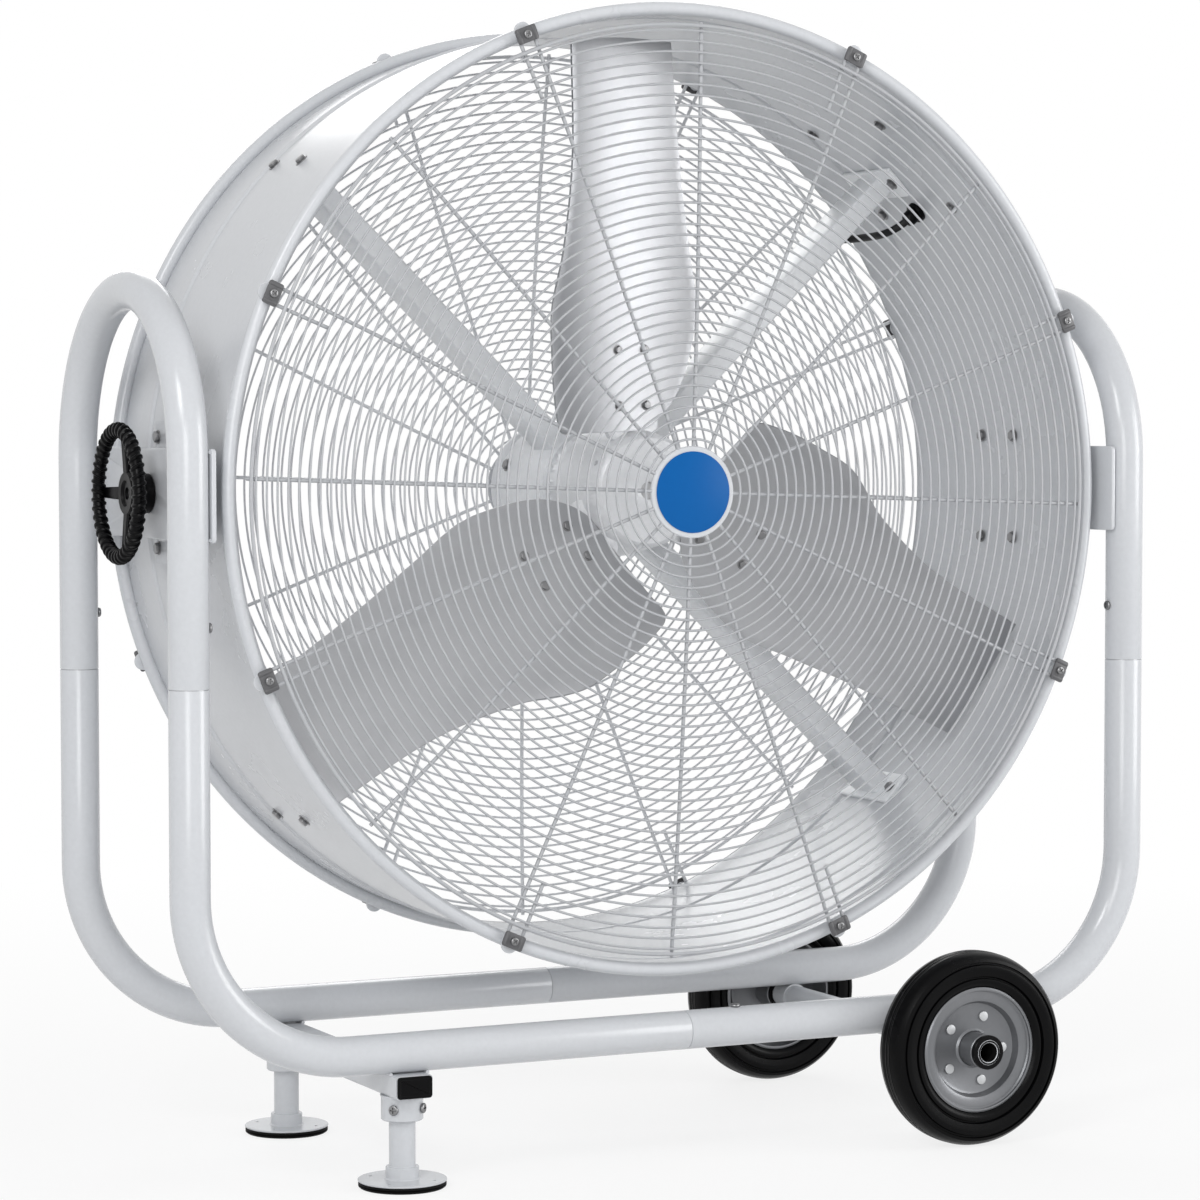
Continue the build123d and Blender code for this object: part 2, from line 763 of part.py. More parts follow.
def switch_knob():
    """The rotary speed switch on the rear wall of the control box."""
    wall = box_length / 2
    knob = rod_y(switch_r, wall + seat_gap, wall + seat_gap + switch_length)
    knob += rod_y(switch_stem_r, wall - 12, wall + seat_gap + 1)
    grip_start = wall + seat_gap + switch_length - 1
    knob += block(-switch_r + 2, switch_r - 2, grip_start, grip_start + 7, -3.5, 3.5)
    knob = Pos(switch_x(), 0, switch_z()) * knob
    return on_axis(Pos(0, box_y, 0) * turned(knob, box_angle))


def inlet_gland():
    """The empty gland for the power cord on the rear wall of the control box."""
    wall = box_length / 2
    gland = rod_y(gland_r, wall - box_wall - 6, wall + 16) + rod_y(gland_flange_r, wall + 0.1, wall + 8)
    gland -= rod_y(cable_r + 0.5, wall - 20, wall + 20)
    gland = Pos(switch_x(), 0, -switch_z()) * gland
    return on_axis(Pos(0, box_y, 0) * turned(gland, box_angle))


# --- trunnions ---
def trunnion_pad(side):
    """A saddle pad on the drum's side with a round boss for the pivot."""
    base = shell_outer_r + seat_gap
    pad = block(base - 12, pad_flat_x, -pad_width_y / 2, pad_width_y / 2, -pad_length_z / 2, pad_length_z / 2)
    pad = fillet(pad.edges().filter_by(Axis.X), 10)
    pad -= rod_y(base, -200, 200)
    pad += rod_x(boss_r, pad_flat_x - 1, boss_end_x)
    for z in (-pad_bolt_half_z, pad_bolt_half_z):
        for y in (-pad_bolt_half_y, pad_bolt_half_y):
            pad -= Pos(0, y, z) * rod_x(pad_bolt_r + seat_gap, base - 20, pad_flat_x + 5)
    pad -= rod_x(stud_r + 0.02, base - 20, boss_end_x + 5)
    return on_axis(pad if side > 0 else pad.mirror(Plane.YZ))


def trunnion_bolts():
    """The bolts of both pads: heads outside, nuts inside the drum."""
    bolts = []
    for side in (1, -1):
        for z in (-pad_bolt_half_z, pad_bolt_half_z):
            for y in (-pad_bolt_half_y, pad_bolt_half_y):
                wall_x = sqrt(shell_inner_r ** 2 - (abs(z) + pad_bolt_head_r) ** 2) - 0.5
                shank = rod_x(pad_bolt_r, wall_x - pad_bolt_head_h - 1, pad_flat_x + 1)
                head = hex_prism(pad_bolt_head_r, pad_flat_x + wire_gap, pad_flat_x + pad_bolt_head_h)
                nut = rod_x(pad_bolt_head_r, wall_x - pad_bolt_head_h, wall_x)
                bolt = Pos(0, y, z) * (shank + head + nut)
                bolts.append(on_axis(bolt if side > 0 else bolt.mirror(Plane.YZ)))
    return bolts


def pivot_stud(side):
    """The threaded stud that the drum turns on, fixed in the pad's boss."""
    stud = rod_x(stud_r, shell_outer_r + 2, stud_end_x)
    return on_axis(stud if side > 0 else stud.mirror(Plane.YZ))


# --- rotor ---
def pitched(shape):
    """Turn a blade shape, built flat with its span along X, to its pitch and its plane."""
    return Pos(0, blade_plane_y, 0) * (Rot(blade_pitch, 0, 0) * shape)


def cambered_sheet(front_offset, thickness, inner_r, outer_r):
    """A curved sheet along the span: its middle lies at Y = front_offset and its edges bend to -Y."""
    back = front_offset
    front = front_offset - thickness
    big = rod_x(blade_camber_r + back, inner_r, outer_r)
    small = rod_x(blade_camber_r + front, inner_r, outer_r)
    return Pos(0, -blade_camber_r, 0) * (big - small)


def blade_edge(shares, side, tip_share):
    """Places along one long edge of the flat blade, from the root to the tip."""
    edge = [(span * blade_tip_r, side * chord * blade_half_width) for span, chord in shares]
    tip_chord = side * tip_share * blade_half_width
    edge.append((sqrt(blade_tip_r ** 2 - tip_chord ** 2), tip_chord))
    return edge


def blade_outline():
    """The blade's outline in span and chord: a wide root, one full side, and a round tip."""
    front = [(blade_root_r, front_root_share * blade_half_width)]
    front += blade_edge(front_edge_shares, 1, front_tip_share)
    back = [(blade_root_r, -back_root_share * blade_half_width)]
    back += blade_edge(back_edge_shares, -1, back_tip_share)
    tip = ThreePointArc(front[-1], (blade_tip_r, 0), back[-1])
    root = Line(back[0], front[0])
    face = make_face(Curve() + [Spline(*front), tip, Spline(*back[::-1]), root])
    corners = [face.vertices().sort_by_distance((*place, 0))[0] for place in (front[0], back[0])]
    return fillet(corners, blade_corner_r)


def blade_bolt_spots():
    """Span and chord of the four bolts that hold one blade to its arm."""
    chords = (arm_centre_chord - blade_bolt_half_spacing, arm_centre_chord + blade_bolt_half_spacing)
    return [(r, c) for r in (blade_bolt_inner_r, blade_bolt_outer_r) for c in chords]


def camber_drop(chord):
    """How far the sheet bends away at a place along the chord."""
    return blade_camber_r - sqrt(blade_camber_r ** 2 - chord ** 2)


def bolt_hole(span, chord, radius):
    """A cutter through blade and arm at one bolt."""
    return Pos(span, 0, chord) * rod_y(radius, -60, 60)


def flat_blade():
    """One cambered sheet blade, before it is pitched and turned."""
    prism = extrude(Rot(90, 0, 0) * blade_outline(), 150, both=True)
    blade = cambered_sheet(0, blade_thickness, blade_root_r - 5, blade_tip_r + 5) & prism
    for span, chord in blade_bolt_spots():
        blade -= bolt_hole(span, chord, blade_bolt_r + wire_gap)
    return blade


def placed_blade(index):
    """One blade at its angle on the hub."""
    angle = blade_clock + index * 360 / blade_count
    return on_axis(turned(pitched(flat_blade()), angle))


def hub_arm():
    """One arm of the hub, behind the blade's root, with the same curve."""
    arm_start_r = hub_nose_r - hub_wall
    arm = cambered_sheet(wire_gap + arm_thickness, arm_thickness, arm_start_r, arm_end_r)
    middle = Pos((arm_end_r + arm_start_r) / 2, 0, arm_centre_chord)
    outline = middle * Box(arm_end_r - arm_start_r, 4 * arm_width, arm_width)
    outline = fillet(outline.edges().filter_by(Axis.Y), 18)
    arm = arm & outline
    for span, chord in blade_bolt_spots():
        arm -= bolt_hole(span, chord, blade_bolt_r + wire_gap)
    return pitched(arm)


def fan_hub():
    """The cast hub on the motor shaft, a cone hollow at the back, with its three blade arms."""
    inner_y = hub_nose_y + hub_face
    hub = spun([(0, hub_nose_y), (hub_nose_r - hub_edge, hub_nose_y), (hub_nose_r, hub_nose_y + hub_edge),
                (hub_back_r, hub_back_y - hub_edge), (hub_back_r, hub_back_y),
                (hub_back_r - hub_wall, hub_back_y), (hub_nose_r - hub_wall, inner_y),
                (hub_boss_r, inner_y), (hub_boss_r, hub_back_y), (0, hub_back_y)])
    screw_hole = rod_x(hub_set_screw_r + wire_gap, shaft_r, hub_back_r)
    for index in range(blade_count):
        angle = blade_clock + index * 360 / blade_count
        hub += turned(hub_arm(), angle)
        hub -= turned(pitched(blade_slot()), angle)
    hub -= rod_y(shaft_r + hub_bore_gap, hub_nose_y - 1, hub_back_y + 1)
    hub -= turned(Pos(0, set_screw_y(), 0) * screw_hole, set_screw_angle())
    return on_axis(hub)


def blade_slot():
    """Space in the hub for a blade's root, a little larger than the blade."""
    return cambered_sheet(wire_gap, blade_thickness + 2 * wire_gap, blade_root_r - 1, arm_end_r + 20)


def set_screw_y():
    """Depth of the hub's set screw."""
    return hub_nose_y + 20


def set_screw_angle():
    """The set screw lies midway between two arms."""
    return blade_clock + 180 / blade_count


def blade_bolts():
    """All blade bolts, each with a head in front and a nut behind, and the hub's set screw."""
    bolts = []
    for index in range(blade_count):
        angle = blade_clock + index * 360 / blade_count
        for span, chord in blade_bolt_spots():
            drop = camber_drop(chord)
            low = -blade_thickness - drop - blade_bolt_stand
            high = wire_gap + arm_thickness - drop + blade_bolt_stand
            head = rod_y(blade_bolt_head_r, low - blade_bolt_head_h, low)
            nut = rod_y(blade_bolt_head_r, high, high + blade_bolt_head_h)
            bolt = Pos(span, 0, chord) * (head + rod_y(blade_bolt_r, low - 1, high + 1) + nut)
            bolts.append(on_axis(turned(pitched(bolt), angle)))
    screw = rod_x(hub_set_screw_r, shaft_r + wire_gap, hub_boss_r + wire_gap)
    bolts.append(on_axis(turned(Pos(0, set_screw_y(), 0) * screw, set_screw_angle())))
    return bolts


def motor_shaft():
    """The shaft from the hub's nose through both bearings."""
    return on_axis(rod_y(shaft_r, hub_nose_y + 4, shaft_rear))


def rotor_core():
    """The motor's rotor on the shaft."""
    middle = (motor_front + bell_front_depth + motor_body_end) / 2
    half = stator_length / 2 + 4
    core = rod_y(stator_inner_r - rotor_air_gap, middle - half, middle + half)
    core -= rod_y(shaft_r + hub_bore_gap, middle - half - 1, middle + half + 1)
    return on_axis(core)


# --- frame ---
def tube_along(path):
    """A round tube along a path."""
    start = Plane(origin=path @ 0, z_dir=path % 0)
    outer = sweep(start * Circle(tube_r), path=path)
    inner = sweep(start * Circle(tube_r - tube_wall), path=path)
    return outer - inner


def hoop(side):
    """One side hoop: two legs joined by a half circle."""
    x = side * leg_half_x
    foot = leg_join_height + join_seam / 2
    front = Line((x, -leg_half_y, foot), (x, -leg_half_y, hoop_arc_z))
    crown = (x, 0, hoop_arc_z + leg_half_y)
    arc = ThreePointArc((x, -leg_half_y, hoop_arc_z), crown, (x, leg_half_y, hoop_arc_z))
    rear = Line((x, leg_half_y, hoop_arc_z), (x, leg_half_y, foot))
    tube = tube_along(Wire([front, arc, rear]))
    return tube - leg_screw_holes(side)


def leg_screw_holes(side):
    """Holes for the screws that hold a hoop on its sleeves."""
    z = leg_join_height + frame_screw_offset
    holes = []
    for y in (-leg_half_y, leg_half_y):
        start = side * (leg_half_x - tube_r - 5)
        holes.append(Pos(0, y, z) * rod_x(frame_screw_shank_r + wire_gap, start, side * leg_half_x))
    return holes


def lower_tube(side_x, side_y):
    """One bent lower tube: leg, large bend and half a bottom rail."""
    x = side_x * leg_half_x
    y = side_y * leg_half_y
    top = leg_join_height - join_seam / 2
    bend_z = rail_height + bottom_bend_r
    bend_x = side_x * (leg_half_x - bottom_bend_r)
    diagonal = bottom_bend_r * (1 - cos(radians(45)))
    leg = Line((x, y, top), (x, y, bend_z))
    middle = (x - side_x * diagonal, y, rail_height + diagonal)
    bend = ThreePointArc((x, y, bend_z), middle, (bend_x, y, rail_height))
    rail = Line((bend_x, y, rail_height), (side_x * join_seam / 2, y, rail_height))
    tube = tube_along(Wire([leg, bend, rail]))
    if side_x > 0:
        hole = rod_z(frame_screw_shank_r + wire_gap, rail_height, rail_height + 40)
        tube -= Pos(frame_screw_offset, y, 0) * hole
    return tube


def join_sleeves():
    """The sleeves inside the six tube joints."""
    outer = tube_r - tube_wall - sleeve_gap
    inner = outer - sleeve_wall
    half = sleeve_half_length
    sleeves = []
    for x in (-leg_half_x, leg_half_x):
        for y in (-leg_half_y, leg_half_y):
            tube = rod_z(outer, -half, half) - rod_z(inner, -half - 1, half + 1)
            start = -1 if x > 0 else 1
            hole = rod_x(frame_screw_shank_r + wire_gap, 0, start * 40)
            tube -= Pos(0, 0, frame_screw_offset) * hole
            sleeves.append(Pos(x, y, leg_join_height) * tube)
    for y in (-leg_half_y, leg_half_y):
        tube = rod_x(outer, -half, half) - rod_x(inner, -half - 1, half + 1)
        tube -= Pos(frame_screw_offset, 0, 0) * rod_z(frame_screw_shank_r + wire_gap, 0, 40)
        sleeves.append(Pos(0, y, rail_height) * tube)
    return sleeves


def frame_screw():
    """A pan-head screw along +X with the underside of its head at the origin."""
    head = rod_x(frame_screw_head_r, 0, frame_screw_head_h)
    return head + rod_x(frame_screw_shank_r, -frame_screw_length, 1)


def frame_screws():
    """The screws at the tube joints and in the foot collars."""
    screws = []
    for side in (-1, 1):
        for y in (-leg_half_y, leg_half_y):
            turn = 180 if side > 0 else 0
            place = Pos(side * (leg_half_x - tube_r), y, leg_join_height + frame_screw_offset)
            screws.append(place * Rot(0, 0, turn) * frame_screw())
    for y in (-leg_half_y, leg_half_y):
        screws.append(Pos(frame_screw_offset, y, rail_height + tube_r) * Rot(0, -90, 0) * frame_screw())
    for side in (-1, 1):
        for turn in (45, 135):
            around = side * turn
            head = Pos(foot_x, side * foot_y, crossbar_bottom - collar_height / 2) * Rot(0, 0, around)
            short = rod_x(frame_screw_head_r, collar_r + wire_gap, collar_r + frame_screw_head_h)
            short += rod_x(frame_screw_shank_r, leg_r + seat_gap, collar_r + 1)
            screws.append(head * short)
    return screws


def pivot_plate(side):
    """The plate across the two legs of a hoop, with the pivot hole."""
    plate = block(plate_start_x, plate_end_x, -pivot_plate_half_y, pivot_plate_half_y,
                  -pivot_plate_half_z, pivot_plate_half_z)
    plate = fillet(plate.edges().filter_by(Axis.X), 6)
    plate -= rod_x(stud_r + run_gap, plate_start_x - 1, plate_end_x + 1)
    return on_axis(plate if side > 0 else plate.mirror(Plane.YZ))


def friction_disc(side):
    """The fibre disc on the pivot plate that the drum's boss turns against."""
    disc = rod_x(boss_r, friction_start_x, plate_start_x)
    disc -= rod_x(stud_r + run_gap, friction_start_x - 1, plate_start_x + 1)
    return on_axis(disc if side > 0 else disc.mirror(Plane.YZ))


def foot_crossbar():
    """The flat tube under both rails that carries the feet, with its welded collars."""
    half_x = crossbar_width / 2
    bar = block(-half_x, half_x, -crossbar_half_length, crossbar_half_length, crossbar_bottom, crossbar_top)
    bar = fillet(bar.edges().filter_by(Axis.Y), 3)
    wall = crossbar_wall
    bar -= block(-half_x + wall, half_x - wall, -crossbar_half_length - 1, crossbar_half_length + 1,
                 crossbar_bottom + wall, crossbar_top - wall)
    low = crossbar_bottom - collar_height
    for side in (-1, 1):
        bar += Pos(0, side * foot_y, 0) * rod_z(collar_r, low, crossbar_bottom + 0.5)
    for side in (-1, 1):
        bar -= Pos(0, side * foot_y, 0) * rod_z(leg_r + run_gap, low - 1, crossbar_bottom + wall + 1)
        for turn in (45, 135):
            hole = rod_x(frame_screw_shank_r + wire_gap, leg_r, collar_r + 2)
            bar -= Pos(0, side * foot_y, crossbar_bottom - collar_height / 2) * Rot(0, 0, side * turn) * hole
    return Pos(foot_x, 0, 0) * bar


def crossbar_end_cap(side):
    """A black plug in one end of the crossbar."""
    half_x = crossbar_width / 2
    wall = crossbar_wall + wire_gap
    start = crossbar_half_length + wire_gap
    flange = block(-half_x + 1, half_x - 1, start, start + end_cap_flange,
                   crossbar_bottom + 1, crossbar_top - 1)
    flange = fillet(flange.edges().filter_by(Axis.Y), 3)
    plug = block(-half_x + wall, half_x - wall, start - end_cap_plug, start + 1,
                 crossbar_bottom + wall, crossbar_top - wall)
    cap = Pos(foot_x, 0, 0) * (flange + plug)
    return cap if side > 0 else cap.mirror(Plane.XZ)


def axle_tube():
    """The open cross tube under both rails that the wheels turn on."""
    tube = rod_y(axle_r, -axle_half_length, axle_half_length)
    tube -= rod_y(axle_bore_r, -axle_half_length - 1, axle_half_length + 1)
    return Pos(wheel_x, 0, wheel_r) * tube


def axle_collars():
    """The black end rings and the inner collars that hold the wheels in place."""
    collars = []
    bore = rod_y(axle_r + 0.02, -2 * axle_half_length, 2 * axle_half_length)
    for side in (-1, 1):
        end = side * axle_half_length
        outer = rod_y(hub_tube_r, end - side * axle_cap_length, end)
        inner_start = side * (hub_inner_y - bush_flange - seat_gap)
        inner = rod_y(axle_collar_r, inner_start - side * axle_collar_length, inner_start)
        for collar in (outer, inner):
            collars.append(Pos(wheel_x, 0, wheel_r) * (collar - bore))
    return collars


# --- wheels ---
def wheel_tyre(side):
    """The rubber tyre, with rounded shoulders and two grooves in each side wall."""
    half = tyre_width / 2
    inner = rim_r + wire_gap
    groove = 3
    outer_half = [(inner, half - 8), (inner + 6, half - 3), (inner + 12, half - 3 - groove),
                  (inner + 17, half), (wheel_r - 17, half), (wheel_r - 13, half - groove),
                  (wheel_r - 7, half - 4), (wheel_r, half - 13)]
    outline = outer_half + [(r, -y) for r, y in reversed(outer_half)]
    return Pos(wheel_x, side * wheel_centre_y, wheel_r) * spun(outline)


def wheel_rim(side):
    """The pressed rim, its dished disc and the hub tube, welded together; +Y is the outer side."""
    half = rim_width / 2
    t = rim_sheet
    disc_y = 5
    barrel = rod_y(rim_r, -half, half) - rod_y(rim_r - t, -half - 1, half + 1)
    lip_y = disc_y + dish_depth
    dish = spun([(hub_tube_r - 1, disc_y), (dish_r, disc_y), (dish_r + 6, lip_y), (rim_r - 1, lip_y),
                 (rim_r - 1, lip_y + t), (dish_r + 6 - t, lip_y + t), (dish_r - t, disc_y + t),
                 (hub_tube_r - 1, disc_y + t)])
    hub = rod_y(hub_tube_r, hub_inner_y - wheel_centre_y, hub_outer_y - wheel_centre_y)
    rim = barrel + dish + hub - rod_y(hub_tube_inner_r, -100, 100)
    if side < 0:
        rim = rim.mirror(Plane.XZ)
    return Pos(wheel_x, side * wheel_centre_y, wheel_r) * rim


def wheel_bushes(side):
    """The two flanged bushes between the hub tube and the axle."""
    bushes = []
    spans = [(hub_outer_y, -1), (hub_inner_y, 1)]
    for end, inward in spans:
        sleeve = rod_y(hub_tube_inner_r - 0.05, end, end + inward * bush_length)
        flange_start = end - inward * wire_gap
        flange = rod_y(axle_collar_r, flange_start, end - inward * bush_flange)
        bush = sleeve + rod_y(hub_tube_inner_r - 1, end - inward * bush_flange, end + inward) + flange
        bush -= rod_y(axle_r + run_gap, end - 50, end + 50)
        bush = bush if side > 0 else bush.mirror(Plane.XZ)
        bushes.append(Pos(wheel_x, 0, wheel_r) * bush)
    return bushes


# --- feet ---
def foot_leg(side):
    """One height-adjusting leg: tube, socket and base disc in one welded piece."""
    low = pad_rubber_thickness
    top = crossbar_bottom + leg_top_engagement
    leg = rod_z(leg_r, low + disc_thickness, top) - rod_z(leg_r - leg_wall, low + disc_thickness + 2, top + 1)
    leg += rod_z(leg_socket_r, low + disc_thickness - 0.5, low + disc_thickness + leg_socket_height) \
        - rod_z(leg_r - 0.5, low, low + 60)
    disc = rod_z(disc_r, low, low + disc_thickness)
    for turn in (45, 135, 225, 315):
        disc -= polar_hole(disc_hole_place, turn, low)
    return Pos(foot_x, side * foot_y, 0) * (leg + disc)


def polar_hole(radius, angle, z):
    """A cutter for a small hole through the base disc."""
    x = radius * cos(radians(angle))
    y = radius * sin(radians(angle))
    return Pos(x, y, 0) * rod_z(disc_hole_r, z - 1, z + disc_thickness + 1)


def foot_pad(side):
    """The rubber pad under one base disc."""
    return Pos(foot_x, side * foot_y, 0) * rod_z(pad_rubber_r, 0, pad_rubber_thickness)


# --- handwheels ---
def handwheel(side):
    """A round clamping wheel with four spokes, turning on the pivot stud."""
    start = plate_end_x + seat_gap
    rim = Pos(handwheel_rim_x, 0, 0) * Rot(0, 90, 0) * Torus(handwheel_r, handwheel_rim_r)
    wheel = rim + rod_x(handwheel_hub_r, start, handwheel_hub_end_x)
    spoke_start = handwheel_hub_end_x - handwheel_spoke_thickness
    half = handwheel_spoke_width / 2
    spoke = block(spoke_start, handwheel_hub_end_x + 1, -half, half, handwheel_hub_r - 5, handwheel_r)
    for index in range(handwheel_spokes):
        wheel += Rot(index * 360 / handwheel_spokes, 0, 0) * spoke
    wheel -= rod_x(stud_r + run_gap, start - 1, stud_end_x + 2)
    return on_axis(wheel if side > 0 else wheel.mirror(Plane.YZ))


# --- write every sub-part ---
def main():
    os.makedirs("parts", exist_ok=True)
    save("drum_shell", drum_shell())
    for name, rim_y, dome, front in (("front", spoke_rim_y_front, -front_dome, True),
                                     ("rear", spoke_rim_y_rear, rear_dome, False)):
        save(name + "_guard_rings", *guard_rings(rim_y, dome, front))
        save(name + "_guard_spokes", *guard_spokes(rim_y, dome))
    save("guard_plates", guard_plate(spoke_rim_y_front, -front_dome),
         guard_plate(spoke_rim_y_rear, rear_dome))
    save("centre_badge", centre_badge())
    save("guard_clips", *[guard_clip(a, front) for front in (True, False) for a in clip_angles])
    save("guard_clip_screws", *[clip_screw(a, front) for front in (True, False) for a in clip_angles])
    save("motor_spider", motor_spider())
    save("drum_bolts", *spider_bolts(), *box_bolts())
    save("motor_housing", motor_housing())
    save("motor_front_bell", motor_front_bell())
    save("motor_rear_bell", motor_rear_bell())
    save("stator_core", stator_core())
    save("stator_windings", *stator_windings())
    save("motor_bearings", *motor_bearings())
    save("terminal_box", terminal_box())
    save("motor_cable", motor_cable())
    save("cable_glands", wall_gland(), inlet_gland())
    save("control_box", box_shell())
    save("control_box_cover", box_cover())
    save("speed_switch", switch_knob())
    save("trunnion_pads", trunnion_pad(-1), trunnion_pad(1))
    save("trunnion_bolts", *trunnion_bolts())
    save("pivot_studs", pivot_stud(-1), pivot_stud(1))
    save("motor_shaft", motor_shaft())
    save("rotor_core", rotor_core())
    save("fan_hub", fan_hub())
    for index in range(blade_count):
        save("fan_blade_" + str(index + 1), placed_blade(index))
    save("blade_bolts", *blade_bolts())
    for name, side in (("left", -1), ("right", 1)):
        save("hoop_" + name, hoop(side))
        save("handwheel_" + name, handwheel(side))
        save("lower_tube_front_" + name, lower_tube(side, -1))
        save("lower_tube_rear_" + name, lower_tube(side, 1))
    save("join_sleeves", *join_sleeves())
    save("frame_screws", *frame_screws())
    save("pivot_plates", pivot_plate(-1), pivot_plate(1))
    save("friction_discs", friction_disc(-1), friction_disc(1))
    save("foot_crossbar", foot_crossbar())
    save("crossbar_end_caps", crossbar_end_cap(-1), crossbar_end_cap(1))
    save("axle_tube", axle_tube())
    save("axle_collars", *axle_collars())
    for name, side in (("front", -1), ("rear", 1)):
        save(name + "_tyre", wheel_tyre(side))
        save(name + "_wheel_rim", wheel_rim(side))
        save(name + "_wheel_bushes", *wheel_bushes(side))
        save(name + "_foot", foot_leg(side))
        save(name + "_foot_pad", foot_pad(side))


main()
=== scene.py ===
import json
from math import atan2, cos, degrees, pi, radians, sin, sqrt

import bpy
from mathutils import Matrix, Vector


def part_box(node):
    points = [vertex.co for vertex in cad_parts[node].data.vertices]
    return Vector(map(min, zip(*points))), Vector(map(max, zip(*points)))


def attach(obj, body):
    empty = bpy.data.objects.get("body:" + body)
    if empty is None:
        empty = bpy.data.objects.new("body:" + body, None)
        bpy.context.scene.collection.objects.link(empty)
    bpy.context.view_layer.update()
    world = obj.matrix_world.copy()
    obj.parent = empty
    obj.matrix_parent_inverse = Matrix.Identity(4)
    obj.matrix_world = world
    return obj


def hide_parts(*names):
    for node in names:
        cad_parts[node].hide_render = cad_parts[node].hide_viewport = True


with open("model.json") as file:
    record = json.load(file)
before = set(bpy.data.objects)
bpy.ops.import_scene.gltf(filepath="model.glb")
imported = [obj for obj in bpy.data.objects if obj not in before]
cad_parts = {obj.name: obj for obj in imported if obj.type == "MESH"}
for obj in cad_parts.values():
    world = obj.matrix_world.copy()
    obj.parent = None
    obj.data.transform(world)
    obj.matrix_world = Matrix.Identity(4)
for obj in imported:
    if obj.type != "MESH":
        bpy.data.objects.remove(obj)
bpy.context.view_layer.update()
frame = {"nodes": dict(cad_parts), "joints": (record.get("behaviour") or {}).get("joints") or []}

upAxis = Vector((0, 0, 1))
drumAxis = Vector((0, 1, 0))
tiltAxis = Vector((1, 0, 0))
pivot = Vector([j["pos_m"] for j in frame["joints"] if j["name"] == "drum_tilt"][0])
sides = (("left", -1), ("right", 1))
ends = (("front", -1), ("rear", 1))

# selecting and finishing


def objectMode():
    if bpy.context.mode != "OBJECT":
        bpy.ops.object.mode_set(mode="OBJECT")


def editMode(choice="VERT"):
    objectMode()
    bpy.context.tool_settings.mesh_select_mode = [choice == kind for kind in ("VERT", "EDGE", "FACE")]
    bpy.ops.object.mode_set(mode="EDIT")


def activate(*pieces):
    objectMode()
    bpy.ops.object.select_all(action="DESELECT")
    for piece in pieces:
        piece.select_set(True)
    if pieces:
        bpy.context.view_layer.objects.active = pieces[0]


def pickBy(piece, choice, test):
    # leaves the piece in edit mode with the vertices, edges or faces chosen that pass the test
    activate(piece)
    elements = {"VERT": piece.data.vertices, "EDGE": piece.data.edges, "FACE": piece.data.polygons}
    for group in elements.values():
        group.foreach_set("select", [False] * len(group))
    for element in elements[choice]:
        element.select = bool(test(element))
    editMode(choice)


def tidyShell():
    # in edit mode: doubles merged, holes closed, faces outwards
    bpy.ops.mesh.select_all(action="SELECT")
    bpy.ops.mesh.remove_doubles(threshold=1e-6)
    bpy.ops.mesh.select_mode(type="VERT")
    bpy.ops.mesh.select_all(action="DESELECT")
    bpy.ops.mesh.select_non_manifold()
    bpy.ops.mesh.fill_holes(sides=0)
    bpy.ops.mesh.select_all(action="SELECT")
    bpy.ops.mesh.normals_make_consistent(inside=False)
    objectMode()


def applyPlace(piece):
    activate(piece)
    bpy.ops.object.transform_apply(location=True, rotation=True, scale=True)
    return piece


def modified(piece, kind, **values):
    activate(piece)
    step = piece.modifiers.new("step", kind)
    for key, value in values.items():
        setattr(step, key, value)
    bpy.ops.object.modifier_apply(modifier=step.name)
    return piece


def softenEdges(piece, width, segments=2, limit=40):
    return modified(piece, "BEVEL", width=width, segments=segments, limit_method="ANGLE",
                    angle_limit=radians(limit))


def removed(piece):
    bpy.data.objects.remove(piece)


def cutWith(piece, cutter):
    modified(piece, "BOOLEAN", operation="DIFFERENCE", solver="EXACT", object=cutter)
    removed(cutter)


def joined(pieces):
    activate(*pieces)
    if len(pieces) > 1:
        bpy.ops.object.join()
    return pieces[0]


def linked(name, data):
    thing = bpy.data.objects.new(name, data)
    bpy.context.scene.collection.objects.link(thing)
    return thing


def copied(piece, place):
    # another one of the same, with its own mesh
    again = linked(piece.name, piece.data.copy())
    if place.determinant() < 0:
        again.data.flip_normals()
    again.data.transform(place)
    return again


def copies(model, places):
    made = [copied(model, place) for place in places]
    removed(model)
    return made


def finished(piece, name, body, material, node="", smooth=35):
    # the piece, or several joined into one, on its body with its finish and the solid that it stands for
    if isinstance(piece, list):
        piece = joined(piece)
    applyPlace(piece)
    bpy.ops.object.shade_smooth_by_angle(angle=radians(smooth))
    piece.name = name
    piece.data.name = name
    piece.data.materials.clear()
    piece.data.materials.append(material)
    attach(piece, body)
    if node:
        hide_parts(node)
    return piece


def dressed(node, material):
    # a solid whose shape is right already only gets its finish
    for slot in frame["nodes"][node].material_slots:
        slot.material = material


# shaping


def primitive(kind, **values):
    # one of Blender's own shapes, with its place put into the mesh
    activate()
    getattr(bpy.ops.mesh, "primitive_" + kind + "_add")(**values)
    return applyPlace(bpy.context.object)


def drumTurn(angle):
    # angles on the drum are counted from +X towards +Z, seen from the front
    return Matrix.Translation(pivot) @ Matrix.Rotation(radians(-angle), 4, "Y") @ Matrix.Translation(-pivot)


